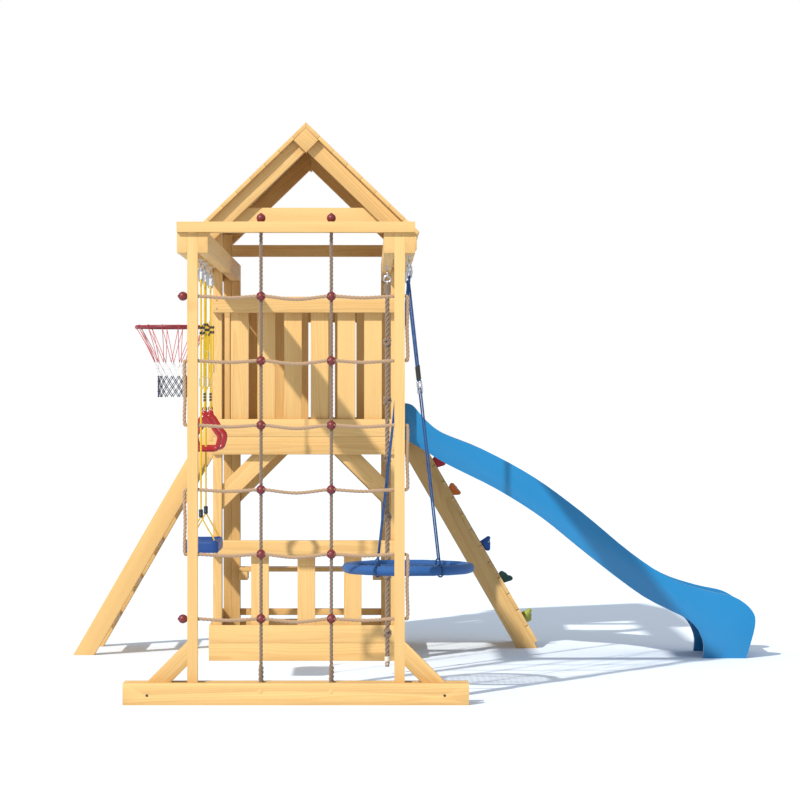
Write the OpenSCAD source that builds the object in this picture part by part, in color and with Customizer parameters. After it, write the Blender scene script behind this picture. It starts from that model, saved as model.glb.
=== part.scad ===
// Garden play tower with a rope net wall, a climbing wall with holds, a ladder, a slide,
// two swing beams, a basketball hoop and a sandbox. Millimetres, +Z up, +Y from the net to the tower.
// The origin is at the middle of the underside of the front sill board.

/* [Timber] */
// Thickness of the framing timber
stock_t = 45; // [40:1:50]
// Width of the framing timber
stock_w = 90; // [80:1:100]
// Thickness of the cladding boards
board_t = 20; // [16:1:25]
// Width of the cladding boards
board_w = 90; // [80:1:100]

/* [Net frame] */
// Distance between the centre lines of the two posts
bay_w = 900; // [760:10:1100]
// Height of the top of the frame
frame_h = 2095; // [1900:5:2500]
// Length of the sill boards on the ground
sill_len = 1500; // [1400:10:1800]
// Height of the sill boards
sill_h = 95; // [80:1:110]
// Width of the diagonal braces on the sill
sill_brace_w = 75; // [60:1:90]
// Height at which a sill brace meets its post
sill_brace_rise = 272; // [240:1:330]

/* [Rope net] */
// Diameter of the net rope
net_rope_d = 16; // [12:1:18]
// Number of crosswise rope rows
net_rows = 6; // [4:1:7]
// Height of the lowest row
net_row_low = 370; // [300:5:420]
// Distance of the highest row below the frame's top
net_row_drop = 322.5; // [280:2.5:400]
// Distance of each upright rope from the middle
net_column_x = 153; // [120:1:180]
// Wall of a round rope connector outside its two ropes
connector_wall = 2.7; // [2:0.1:5]

/* [Tower] */
// Distance from the net posts' sill to the front of the tower
tower_gap = 2200; // [2050:10:2600]
// Depth of the tower over its posts
tower_d = 1200; // [1000:10:1500]
// Height of the deck's walking surface
deck_h = 1200; // [1000:5:1440]
// How far the tower posts stand above the net frame
tower_post_rise = 120; // [80:5:200]
// Distance of the upper guard rails below the swing beams
guard_gap = 121; // [60:1:200]
// Height of a rail
rail_h = 80; // [60:1:90]
// Gap between the pickets of the upper front guard, about
front_picket_gap = 45; // [25:1:60]
// Gap between the pickets of the upper back guard, about
back_picket_gap = 27; // [15:1:60]
// Gap between the pickets of the low guard, about
low_picket_gap = 144; // [60:1:180]
// Height of the top of the low rail
low_rail_h = 609; // [500:1:700]
// Height of the bench seat
bench_h = 410; // [350:5:450]

/* [Roof] */
// Gap between the tops of the tower posts and the roof boards
roof_gap = 16; // [5:1:40]
// Slope of the roof in degrees
roof_pitch = 44; // [42:1:47]
// How far the eaves reach past the cladding
eave_reach = 79.5; // [50:0.5:140]
// How far the roof boards reach past the rafters
roof_overhang = 40; // [20:1:80]
// Width of the rafters
rafter_w = 80; // [70:1:90]
// Level width of a roof board, about
roof_board_w = 72; // [60:1:100]

/* [Ladder and climbing wall] */
// How far the outer edge of a sloping rail reaches past the cladding at the deck
slope_reach = 25.4; // [10:0.1:60]
// Slope of the rails in degrees
slope_angle = 60; // [56:1:64]
// Width of the sloping rails
slope_rail_w = 95; // [85:1:105]
// Number of ladder treads
tread_count = 5; // [4:1:6]
// Height of the middle of the lowest tread
tread_low = 177; // [150:1:200]
// Distance of the middle of the highest tread below the deck
tread_drop = 239; // [180:1:260]
// Width of the ladder over its rails
ladder_w = 580; // [500:5:620]
// Width of the climbing wall
wall_w = 455; // [400:5:480]
// Height that a board of the climbing wall takes up, about
wall_board_h = 85; // [70:1:110]

/* [Slide] */
// How far the slide sits in front of the middle of the space left by the climbing wall
slide_off = 7.5; // [0:0.5:15]
// Width of the slide over its side walls
slide_w = 480; // [420:5:520]
// Thickness of a side wall of the slide
slide_wall_t = 32; // [20:1:40]
// Thickness of the sliding surface
slide_bed_t = 14; // [10:1:18]

/* [Hoop] */
// Outer diameter of the hoop
hoop_d = 380; // [340:5:450]
// Diameter of the hoop's rod
hoop_rod_d = 16; // [12:1:20]
// Distance from the cladding to the middle of the hoop
hoop_reach = 197.5; // [195:0.5:260]
// Height of the hoop below the top of the guard
hoop_drop = 148; // [100:1:240]

/* [Swings] */
// Length of the swing seat
seat_len = 450; // [400:5:480]
// Width of the swing seat
seat_w = 160; // [140:5:180]
// Height of the swing seat's top
seat_h = 677; // [500:1:800]
// Diameter of the swing ropes
swing_rope_d = 10; // [8:1:11]
// Distance between the seat's two ropes
seat_rope_gap = 413; // [380:1:420]
// Width of a hand ring
hand_ring_w = 166; // [150:1:180]
// Height of a hand ring below its eye
hand_ring_h = 200; // [180:1:220]
// Outer diameter of the nest swing
nest_d = 600; // [500:10:620]
// Thickness of the nest swing's rim
nest_rim_d = 45; // [35:1:60]
// Height of the middle of the nest swing
nest_h = 561; // [450:1:700]
// Diameter of the knotted climbing rope
climb_rope_d = 23; // [20:1:28]
// Diameter of its knots
knot_d = 44; // [38:1:50]

/* [Hidden] */
$fn = 48;
eps = 0.01;
clear = 0.3;
fit_gap = 0.1;
wood = [0.95, 0.78, 0.53];
steel = [0.75, 0.76, 0.78];

post_x = bay_w / 2;
post_in = post_x - stock_t / 2;
post_out = post_x + stock_t / 2;
clad_out = post_out + board_t;
sill_y0 = -stock_t / 2;
post_y0 = stock_t / 2;
post_y1 = post_y0 + stock_t;
net_y = post_y0 + stock_t / 2;
cap_z = frame_h - stock_t;
beam_z0 = cap_z - stock_w;
tower_post_h = frame_h + tower_post_rise;
guard_h = beam_z0 - guard_gap;
tower_y0 = tower_gap - stock_t / 2;
tower_y1 = tower_y0 + tower_d;
front_y = tower_y0 - stock_t;

// The two ropes of the net pass each other inside the connectors.
row_y = net_y - net_rope_d / 2 - 1;
column_y = net_y + net_rope_d / 2 + 1;
rope_hole_r = net_rope_d / 2 + 2.5;
connector_hole_r = net_rope_d / 2 + clear;
connector_d = 2 * (net_rope_d + 1 + clear + connector_wall);
net_row_step = (frame_h - net_row_drop - net_row_low) / (net_rows - 1);
function row_z(i) = net_row_low + i * net_row_step;

joist_z1 = deck_h - board_t;
joist_z0 = joist_z1 - stock_w;
apron_top = deck_h + 22;
prop_x0 = post_in - stock_t;

roof_y0 = front_y - roof_overhang;
roof_y1 = tower_y1 + stock_t + roof_overhang;
roof_slope = tan(roof_pitch);
roof_t_z = board_t / cos(roof_pitch);
rafter_t_z = rafter_w / cos(roof_pitch);
ridge_h = tower_post_h + roof_gap + roof_t_z + post_out * roof_slope;
eave_x = clad_out + eave_reach;
function roof_top(x) = ridge_h - abs(x) * roof_slope;
function roof_under(x) = roof_top(x) - roof_t_z;

rise = tan(slope_angle);
slope_w_x = slope_rail_w / sin(slope_angle);
slope_board_x = board_t / sin(slope_angle);
slope_foot_x = clad_out + slope_reach - slope_w_x + deck_h / rise;
function slope_in(z) = slope_foot_x - z / rise;
tread_step = (deck_h - tread_drop - tread_low) / (tread_count - 1);
ladder_y0 = tower_y0 + (tower_d - ladder_w) / 2;
ladder_y1 = ladder_y0 + ladder_w;
wall_y0 = tower_y1 - wall_w;
slide_y0 = tower_y0 + (tower_d - wall_w - slide_w) / 2 - slide_off;
slide_y1 = slide_y0 + slide_w;

// Hanging points: the eye's wire, the link on it and the rope's loop on the link.
wire_r = 4;
eye_r = 16;
eye_z = beam_z0 - 35;
pivot_z = eye_z - eye_r;
link_r = 10;
link_len = 38;
link_top_z = pivot_z + 2 * wire_r + clear - link_r;
link_end_z = link_top_z - link_len - link_r;
swing_r = swing_rope_d / 2;
loop_r = swing_r + 2 * wire_r;
loop_z = link_end_z + wire_r + clear + swing_r - loop_r;
seat_y0 = 691.5;
ring_near_y = 1000;
ring_far_y = 1517.5;
nest_y = 577.5;
nest_hook_dy = 280;
climb_y = 1427.5;
outer_beam_x = post_out + stock_t / 2;
inner_beam_x = post_in - stock_t / 2;
left_x = -post_x;

// Bolts across the sills: two hold the braces and two hold the upright ropes.
bolt_r = 4.5;
brace_bolt_x = post_out + sill_brace_rise - 100;
rope_eye_z = 60;
sill_bolts = [[-brace_bolt_x, 42], [-net_column_x, rope_eye_z], [net_column_x, rope_eye_z],
    [brace_bolt_x, 42]];
// Where the eyes are screwed up into the beams.
left_eyes_y = [seat_y0, ring_near_y, seat_y0 + seat_rope_gap, ring_far_y];
nest_eyes_y = [nest_y - nest_hook_dy, nest_y + nest_hook_dy];
eye_spots = concat([for (y = left_eyes_y) [left_x, y]],
    [for (y = nest_eyes_y) [outer_beam_x, y]], [[inner_beam_x, climb_y]]);
eye_shank_r = 5;
eye_shank_len = 60;

// The climbing holds: shares of the deck's height and of the wall's width, and turn about the bolt.
hold_bolt_r = 5;
holds = [[0.1275, 0.30, 20], [0.2925, 0.66, -30], [0.449, 0.30, 15], [0.686, 0.62, -20],
    [0.815, 0.34, 25]];

// A board given by its low and high corners.
module board(x0, x1, y0, y1, z0, z1) {
    translate([x0, y0, z0]) cube([x1 - x0, y1 - y0, z1 - z0]);
}

// The same board on the right and, mirrored, on the left.
module both_sides() {
    children();
    mirror([1, 0, 0]) children();
}

// A flat outline in X and Z, with its thickness along Y.
module upright_plate(y0, y1) {
    translate([0, y1, 0]) rotate([90, 0, 0]) linear_extrude(y1 - y0) children();
}

// A straight round bar between two points.
module bar(a, b, r) {
    d = b - a;
    len = norm(d);
    translate(a) rotate([0, acos(d[2] / len), atan2(d[1], d[0])]) cylinder(r = r, h = len);
}

// A smooth line through points, with a number of steps in each span.
function spline(p, steps) = [for (i = [0 : len(p) - 2], k = [0 : steps - 1])
    let (a = p[max(i - 1, 0)], b = p[i], c = p[i + 1], d = p[min(i + 2, len(p) - 1)],
         t = k / steps)
    0.5 * (2 * b + (c - a) * t + (2 * a - 5 * b + 4 * c - d) * t * t
        + (3 * b - a - 3 * c + d) * t * t * t)];
function unit(v) = v / norm(v);
function normal2(p, i) = let (d = unit(p[min(i + 1, len(p) - 1)] - p[max(i - 1, 0)]))
    [-d[1], d[0]];

// ---- Net frame ----

module net_posts() {
    color(wood) both_sides() difference() {
        board(post_in, post_out, post_y0, post_y1, 0, cap_z);
        for (i = [0 : net_rows - 1])
            translate([post_x, row_y, row_z(i)]) rotate([0, 90, 0])
                cylinder(r = rope_hole_r, h = 2 * stock_t, center = true);
    }
}

module sill_bolt_holes() {
    for (b = sill_bolts)
        translate([b[0], net_y, b[1]]) rotate([90, 0, 0])
            cylinder(r = bolt_r + clear, h = 4 * stock_t, center = true);
}
module net_sills() {
    color(wood) for (y = [sill_y0, post_y1]) difference() {
        board(-sill_len / 2, sill_len / 2, y, y + stock_t, 0, sill_h);
        sill_bolt_holes();
    }
}

module net_sill_braces() {
    drop = sill_brace_w / cos(45);
    color(wood) difference() {
        both_sides() upright_plate(post_y0, post_y1) polygon([
            [post_out, sill_brace_rise], [post_out, sill_brace_rise - drop],
            [post_out + sill_brace_rise - drop, 0], [post_out + sill_brace_rise, 0]]);
        sill_bolt_holes();
    }
}

module net_top_cap() {
    color(wood) difference() {
        board(-post_out - stock_t, post_out + stock_t, post_y0 - 22, post_y1 + 23,
            cap_z, frame_h);
        for (x = [-net_column_x, net_column_x])
            translate([x, column_y, cap_z - 1])
                cylinder(r = rope_hole_r, h = stock_t + 2);
    }
}

module beam_boards() {
    for (x = [prop_x0, post_out])
        board(x, x + stock_t, post_y0, tower_y1, beam_z0, cap_z);
}
module eye_holes() {
    for (e = eye_spots)
        translate([e[0], e[1], beam_z0 - 1])
            cylinder(r = eye_shank_r + clear, h = eye_shank_len + 2);
}
module left_swing_beam() {
    color(wood) difference() {
        mirror([1, 0, 0]) beam_boards();
        eye_holes();
    }
}
module right_swing_beam() {
    color(wood) difference() {
        beam_boards();
        eye_holes();
    }
}

// Blocks between the two boards of a beam carry the screw eyes and stiffen the beam.
spacer_half = 40;
module beam_spacers() {
    color(wood) difference() {
        union() {
            for (y = left_eyes_y)
                board(-post_out, -post_in, y - spacer_half, y + spacer_half, beam_z0, cap_z);
            for (y = [nest_y, climb_y])
                board(post_in, post_out, y - spacer_half, y + spacer_half, beam_z0, cap_z);
        }
        eye_holes();
    }
}

// ---- Rope net ----

sag_side = 7;
sag_middle = 14;
loop_x = post_out + 10;
// Stations of one row from left to right, as offset from the middle and height below the row.
side_mid_x = (net_column_x + post_in) / 2;
row_line = [[-post_in + 5, 0], [-side_mid_x, sag_side], [-net_column_x - 22, 0],
    [-net_column_x + 22, 0], [0, sag_middle], [net_column_x - 22, 0],
    [net_column_x + 22, 0], [side_mid_x, sag_side], [post_in - 5, 0]];
function row_points(i) = [for (k = [0 : len(row_line) - 1])
    let (p = row_line[i % 2 == 1 ? k : len(row_line) - 1 - k])
    [p[0], row_y, row_z(i) - p[1]]];
// The rope leaves the post, drops outside it to the next row and turns back in.
function turn_points(i) = let (s = i % 2 == 1 ? 1 : -1, z = row_z(i), w = row_z(i - 1))
    [[s * (post_out - 1), row_y, z], [s * (loop_x + 3), row_y, z - 16],
     [s * loop_x, row_y, (z + w) / 2], [s * (loop_x + 3), row_y, w + 16],
     [s * (post_out - 1), row_y, w]];
function rope_route(i) = i == 0 ? row_points(0)
    : concat(row_points(i), turn_points(i), rope_route(i - 1));
rope_start = net_rows % 2 == 0 ? -1 : 1;
net_route = concat([[rope_start * (post_out + 6), row_y, row_z(net_rows - 1)]],
    rope_route(net_rows - 1), [[-post_out - 6, row_y, row_z(0)]]);

// A round rope in the plane of the net, swept along a route as rings of points.
module swept_rope(route, r, sides) {
    n = len(route);
    rings = [for (i = [0 : n - 1])
        let (t = unit(route[min(i + 1, n - 1)] - route[max(i - 1, 0)]),
             side = [0, 1, 0], up = cross(t, side))
        for (k = [0 : sides - 1])
            route[i] + r * (cos(360 * k / sides) * side + sin(360 * k / sides) * up)];
    walls = [for (i = [0 : n - 2], k = [0 : sides - 1])
        let (a = i * sides + k, b = i * sides + (k + 1) % sides)
        for (f = [[a, b, b + sides], [a, b + sides, a + sides]]) f];
    polyhedron(rings, concat(walls, [[for (k = [sides - 1 : -1 : 0]) k]],
        [[for (k = [0 : sides - 1]) (n - 1) * sides + k]]));
}

module net_zigzag_rope() {
    color([0.80, 0.68, 0.50]) swept_rope(net_route, net_rope_d / 2, 8);
}

// Each upright rope ends in a spliced eye around a bolt through the sills.
rope_eye_r = bolt_r + clear + net_rope_d / 2;
upright_z1 = frame_h + 15;
module net_upright_ropes() {
    color([0.62, 0.54, 0.42]) for (x = [-net_column_x, net_column_x])
        translate([x, column_y, 0]) {
            translate([0, 0, rope_eye_z + rope_eye_r])
                cylinder(r = net_rope_d / 2, h = upright_z1 - rope_eye_z - rope_eye_r);
            translate([0, 0, rope_eye_z]) rotate([90, 0, 0]) rotate_extrude()
                translate([rope_eye_r, 0]) circle(d = net_rope_d);
        }
}

module net_connectors() {
    color([0.62, 0.13, 0.15]) for (x = [-net_column_x, net_column_x], i = [0 : net_rows - 1])
        translate([x, net_y, row_z(i)]) difference() {
            sphere(d = connector_d);
            translate([0, column_y - net_y, 0])
                cylinder(r = connector_hole_r, h = connector_d, center = true);
            translate([0, row_y - net_y, 0]) rotate([0, 90, 0])
                cylinder(r = connector_hole_r, h = connector_d, center = true);
        }
}

// Balls that stop the rope ends: above the cap and outside the posts.
ball_r = connector_d / 2;
module stop_ball(rope_end) {
    difference() {
        sphere(r = ball_r);
        translate([0, 0, -2 * ball_r])
            cylinder(r = connector_hole_r, h = 2 * ball_r + rope_end + clear);
    }
}
module net_stop_balls() {
    color([0.62, 0.13, 0.15]) {
        for (x = [-net_column_x, net_column_x])
            translate([x, column_y, frame_h + ball_r - 2])
                stop_ball(upright_z1 - frame_h - ball_r + 2);
        translate([-post_out - ball_r, row_y, row_z(0)]) rotate([0, -90, 0])
            stop_ball(6 - ball_r);
        translate([rope_start * (post_out + ball_r), row_y, row_z(net_rows - 1)])
            rotate([0, rope_start * 90, 0]) stop_ball(6 - ball_r);
    }
}

// ---- Tower ----

module tower_posts() {
    color(wood) both_sides() for (y = [tower_y0, tower_y1 - stock_w])
        board(post_in, post_out, y, y + stock_w, 0, tower_post_h);
}

// Props stand under the inner beam boards at the back of the tower.
module beam_props() {
    color(wood) both_sides()
        board(prop_x0, post_in, tower_y1 - stock_w, tower_y1, 0, beam_z0);
}

joist_y0 = tower_y0 + board_t;
joist_y1 = tower_y1 - board_t;
module deck_frame() {
    color(wood) {
        board(-post_in, post_in, joist_y0, joist_y0 + stock_t, joist_z0, joist_z1);
        board(-prop_x0, prop_x0, joist_y1 - stock_t, joist_y1, joist_z0, joist_z1);
        both_sides() board(prop_x0, post_in, joist_y0 + stock_t + clear,
            tower_y1 - stock_w, joist_z0, joist_z1);
        board(-stock_t / 2, stock_t / 2, joist_y0 + stock_t + clear,
            joist_y1 - stock_t - clear, joist_z0, joist_z1);
    }
}

// Boards beside a post or a prop are cut shorter to clear it.
deck_count = round((joist_y1 - joist_y0) / 97);
deck_step = (joist_y1 - joist_y0) / deck_count;
deck_gap = 5;
function deck_half(y) = y < tower_y0 + stock_w ? post_in - 1
    : y + deck_step > tower_y1 - stock_w ? prop_x0 - 1 : post_out;
module deck_boards() {
    color(wood) for (i = [0 : deck_count - 1])
        let (y = joist_y0 + i * deck_step, w = deck_half(y))
            board(-w, w, y, y + deck_step - deck_gap, joist_z1, deck_h);
}

// Two boards one above the other, below a height.
board_gap = 0.5;
module apron_pair(x0, x1, y0, y1, top) {
    for (z = [top - board_w, top - 2 * board_w])
        board(x0, x1, y0, y1, z, z + board_w - board_gap);
}
module deck_aprons() {
    color(wood) {
        apron_pair(-post_out, post_out, tower_y0 - board_t, tower_y0, apron_top);
        apron_pair(-post_out, post_out, tower_y1, tower_y1 + board_t, apron_top);
        both_sides() apron_pair(post_out + clear, clad_out, tower_y0, tower_y1, deck_h);
    }
}

// A diagonal brace from a post's inner face up to the underside of the joist.
brace_low = joist_z0 - 201;
module deck_brace(x, y0) {
    drop = stock_w / cos(45);
    run = joist_z0 - brace_low;
    both_sides() upright_plate(y0, y0 + stock_t) polygon([
        [x, brace_low], [x, brace_low - drop], [x - run - drop, joist_z0],
        [x - run, joist_z0]]);
}
module deck_braces() {
    color(wood) {
        deck_brace(post_in, joist_y0);
        deck_brace(prop_x0, joist_y1 - stock_t);
    }
}

module upper_front_rail() {
    color(wood) board(-post_out, post_out, front_y, tower_y0, guard_h - rail_h, guard_h);
}

// Pickets start just above the underside of the joists. A row fills the width between two posts
// or props, less a margin at each end, with as many pickets as its gap allows.
picket_z0 = joist_z0 + 1;
module picket_row(half, margin, gap, y0, z0, z1) {
    w = 2 * (half - margin);
    count = round((w + gap) / (board_w + gap));
    step = (w - board_w) / (count - 1);
    for (i = [0 : count - 1])
        let (x = (i - (count - 1) / 2) * step)
            board(x - board_w / 2, x + board_w / 2, y0, y0 + board_t, z0, z1);
}
module upper_front_pickets() {
    color(wood) picket_row(post_in, 45, front_picket_gap, tower_y0,
        picket_z0, guard_h - board_t);
}

module upper_back_guard() {
    color(wood) {
        board(-post_out, post_out, tower_y1 + clear, tower_y1 + stock_t,
            guard_h - rail_h - board_t, guard_h);
        picket_row(prop_x0, 44, back_picket_gap, tower_y1 - board_t, picket_z0,
            guard_h - board_t);
    }
}

// Short guards stand between the ladder and the corner posts on the left side.
jamb_step = 5;
side_front_y = ladder_y0 - jamb_step;
side_back_y = ladder_y1 + jamb_step;
side_picket_gap = 20;
module side_guard_frames() {
    color(wood) mirror([1, 0, 0]) {
        board(post_in, post_out, tower_y0 + stock_w, side_front_y, guard_h - rail_h, guard_h);
        board(post_in, post_out, side_front_y - stock_t, side_front_y, deck_h,
            guard_h - rail_h - clear);
        board(post_in, post_out, side_back_y, tower_y1 - stock_w, guard_h - rail_h, guard_h);
        board(post_in, post_out, side_back_y, side_back_y + stock_t, deck_h,
            guard_h - rail_h - clear);
    }
}
module side_guard_pickets() {
    step = board_w + side_picket_gap;
    count = floor((side_front_y - tower_y0 + side_picket_gap) / step);
    color(wood) mirror([1, 0, 0]) for (i = [0 : count - 1])
        for (y = [side_front_y - board_w - i * step, side_back_y + i * step])
            board(post_out, clad_out, y, y + board_w, deck_h + clear, guard_h);
}

module low_front_rail() {
    color(wood) board(-post_out, post_out, front_y, tower_y0, low_rail_h - rail_h, low_rail_h);
}
module low_front_pickets() {
    color(wood) picket_row(post_in, 148, low_picket_gap, tower_y0, board_w,
        low_rail_h - board_t);
}

module sandbox_boards() {
    back_y = tower_y1 - stock_t;
    rail_z0 = 2 * board_w - 35;
    color(wood) {
        apron_pair(-clad_out, clad_out, tower_y0 - board_t, tower_y0, 2 * board_w);
        both_sides() apron_pair(post_out, clad_out, tower_y0 + clear, tower_y1, 2 * board_w);
        board(-prop_x0, prop_x0, back_y, back_y + stock_t, rail_z0, 2 * board_w);
        board(-prop_x0, prop_x0, back_y, back_y + board_t, rail_z0 - 20 - board_w,
            rail_z0 - 20);
    }
}

// Two seat boards on a cleat at each prop.
module bench() {
    seat_step = board_w + 6;
    under = bench_h - board_t - clear;
    color(wood) {
        for (y = [tower_y1 - seat_step, tower_y1 - 2 * seat_step])
            board(-prop_x0, prop_x0, y, y + board_w, bench_h - board_t, bench_h);
        both_sides() board(prop_x0 - stock_t, prop_x0, tower_y1 - 2 * seat_step, tower_y1,
            under - stock_t, under);
    }
}

// ---- Roof ----

// Two rafters that meet at the ridge, with the lower corner of each foot cut off.
module rafter_pair(y0) {
    foot_x = eave_x - 14;
    foot_cut = 20;
    peak_x = clear / 2;
    function top(x) = roof_under(x) - fit_gap;
    both_sides() upright_plate(y0, y0 + stock_t) polygon([
        [peak_x, top(peak_x)], [peak_x, top(peak_x) - rafter_t_z],
        [foot_x - foot_cut, top(foot_x - foot_cut) - rafter_t_z],
        [foot_x, top(foot_x) - rafter_t_z + 2 * foot_cut], [foot_x, top(foot_x)]]);
}
module rafters() {
    color(wood) {
        rafter_pair(front_y);
        rafter_pair(tower_y1);
    }
}

// The tie behind the front rafters has its ends cut to the slope of the roof.
tie_z1 = ridge_h - 425;
tie_z0 = tie_z1 - stock_w;
tie_inset = 90;
module collar_tie() {
    half1 = (roof_under(0) - tie_z1) / roof_slope - tie_inset;
    half0 = half1 + stock_w / roof_slope;
    color(wood) upright_plate(tower_y0, tower_y0 + stock_t) polygon([
        [-half0, tie_z0], [half0, tie_z0], [half1, tie_z1], [-half1, tie_z1]]);
}
back_tie_z1 = tower_post_h - 58;
back_tie_w = 63;
module back_tie() {
    color(wood) board(-post_in, post_in, tower_y1 - stock_w, tower_y1 - stock_t,
        back_tie_z1 - back_tie_w, back_tie_z1);
}

// A square block under the ridge at each gable, turned onto its corner.
module ridge_blocks() {
    side = 88;
    reach = 100;
    color(wood) for (y = [roof_y0, roof_y1 - roof_overhang + clear])
        upright_plate(y, y + roof_overhang - clear) intersection() {
            translate([0, roof_under(0) - side / sqrt(2)]) rotate(45)
                square(side, center = true);
            polygon([[-reach, roof_under(reach) - clear], [0, roof_under(0) - clear],
                [reach, roof_under(reach) - clear], [0, roof_under(0) - 2 * side]]);
        }
}

// The boards of one slope run from gable to gable, side by side from ridge to eave.
// The top board's edge is upright, where it meets the other slope.
module roof_slope_boards() {
    count = round(eave_x / roof_board_w);
    step = eave_x / count;
    gap = clear / 2;
    lean = board_t * sin(roof_pitch);
    for (i = [0 : count - 1])
        let (a = i * step + gap, b = (i + 1) * step - gap, under_a = i == 0 ? a : a - lean)
            upright_plate(roof_y0, roof_y1) polygon([[a, roof_top(a)], [b, roof_top(b)],
                [b - lean, roof_under(b - lean)], [under_a, roof_under(under_a)]]);
}
module roof_boards_left() { color(wood) mirror([1, 0, 0]) roof_slope_boards(); }
module roof_boards_right() { color(wood) roof_slope_boards(); }

// ---- Ladder and climbing wall ----

// A sloping rail cut flat at the ground and at the deck, and upright against the apron.
module sloping_rail(y0) {
    top_x = slope_in(deck_h) + slope_w_x;
    upright_plate(y0, y0 + stock_t) polygon([
        [slope_in(0), 0], [slope_in(0) + slope_w_x, 0], [top_x, deck_h],
        [clad_out, deck_h], [clad_out, (slope_foot_x - clad_out) * rise]]);
}
module ladder_rails() {
    color(wood) mirror([1, 0, 0]) {
        sloping_rail(ladder_y0);
        sloping_rail(ladder_y1 - stock_t);
    }
}
module ladder_treads() {
    color(wood) mirror([1, 0, 0]) for (i = [0 : tread_count - 1])
        let (z = tread_low + i * tread_step, x = slope_in(z) + slope_w_x / 2)
            board(x - stock_w / 2, x + stock_w / 2, ladder_y0 + stock_t,
                ladder_y1 - stock_t, z - stock_t / 2, z + stock_t / 2);
}
module climbing_wall_rails() {
    color([0.80, 0.66, 0.45]) {
        sloping_rail(wall_y0);
        sloping_rail(tower_y1 - stock_t);
    }
}

// Boards lie across the rails from the ground to the deck, with a small gap between them.
wall_low = 30;
wall_board_count = round((apron_top - wall_low) / wall_board_h);
wall_step = (apron_top - wall_low) / wall_board_count;
wall_gap = 3;
function wall_back(z) = slope_in(z) + slope_w_x + fit_gap;
function wall_face(z) = wall_back(z) + slope_board_x;
module climbing_wall_boards() {
    out = board_t * [sin(slope_angle), cos(slope_angle)];
    color([0.80, 0.66, 0.45]) difference() {
        for (i = [0 : wall_board_count - 1])
            let (z0 = wall_low + i * wall_step, z1 = z0 + wall_step - wall_gap)
                upright_plate(wall_y0, tower_y1) polygon([
                    [wall_back(z0), z0], [wall_back(z1), z1],
                    [wall_back(z1), z1] + out, [wall_back(z0), z0] + out]);
        for (h = holds) on_wall(h) translate([0, 0, -2 * board_t])
            cylinder(r = hold_bolt_r + clear, h = 3 * board_t);
    }
}

// Places its children on the wall's face: their +Z points out of the wall.
module on_wall(h) {
    z = h[0] * deck_h;
    translate([wall_face(z), wall_y0 + h[1] * wall_w, z])
        rotate([0, slope_angle, 0]) rotate([0, 0, h[2]]) children();
}
// The bolt's head sits in a counterbore at this height above the wall.
hold_head_z = 34;
module hold_hole() {
    translate([0, 0, -1]) cylinder(r = hold_bolt_r + clear, h = 90);
    translate([0, 0, hold_head_z]) cylinder(r = 10, h = 60);
}
// A hold is a smooth lump over a foot on the wall and a lip above it.
module hold_shape(foot, lip, lip_r, belly) {
    difference() {
        hull() {
            cylinder(r = foot, h = 6, $fn = 32);
            translate(lip) sphere(r = lip_r, $fn = 24);
            translate(belly) sphere(r = lip_r + 3, $fn = 24);
        }
        hold_hole();
    }
}
module climbing_hold(i) {
    shapes = [[30, [-18, 0, 44], 14, [22, 6, 20]], [28, [26, 4, 46], 13, [-24, 0, 16]],
        [26, [-14, 8, 48], 13, [26, -6, 18]], [24, [30, 0, 34], 12, [-26, 4, 22]],
        [28, [24, -6, 40], 13, [-18, 4, 20]]];
    on_wall(holds[i]) translate([0, 0, fit_gap])
        hold_shape(shapes[i][0], shapes[i][1], shapes[i][2], shapes[i][3]);
}
module climbing_hold_1() { color([0.62, 0.58, 0.20]) climbing_hold(0); }
module climbing_hold_2() { color([0.10, 0.25, 0.25]) climbing_hold(1); }
module climbing_hold_3() { color([0.10, 0.25, 0.50]) climbing_hold(2); }
module climbing_hold_4() { color([0.90, 0.40, 0.12]) climbing_hold(3); }
module climbing_hold_5() { color([0.75, 0.10, 0.18]) climbing_hold(4); }
// Each bolt has its head in the hold and a nut behind the wall.
module climbing_hold_bolts() {
    head_r = 9;
    nut_h = 6;
    tail = board_t + nut_h;
    color(steel) for (h = holds) on_wall(h) {
        translate([0, 0, -tail]) cylinder(r = hold_bolt_r, h = tail + hold_head_z + nut_h);
        translate([0, 0, hold_head_z + 2 * fit_gap]) cylinder(r = head_r, h = nut_h + 1);
        translate([0, 0, -tail]) cylinder(r = head_r, h = nut_h - clear);
    }
}

// ---- Slide ----

// Points of the slide are given beside the tower's post, for a deck 1200 high.
slide_x0 = clad_out - post_x;
slide_foot = [[1790, 0]];
slide_tail = [1775, 0];
slide_rise = deck_h / 1200;
function beside_post(p) = [for (q = p) [post_x + q[0], q[1] * slide_rise]];
slide_top = spline(beside_post([[slide_x0, 1300], [90, 1290], [160, 1212], [250, 1146],
    [460, 1060], [710, 923], [950, 748], [1200, 541], [1400, 410], [1580, 348], [1730, 313],
    [1820, 245], [1836, 165], slide_foot[0]]), 4);
slide_under = spline(beside_post([[1570, 0], [1570, 90], [1500, 193], [1265, 316],
    [1015, 505], [770, 702], [520, 862], [275, 985], [140, 1066], [slide_x0, 1122]]), 4);
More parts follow.
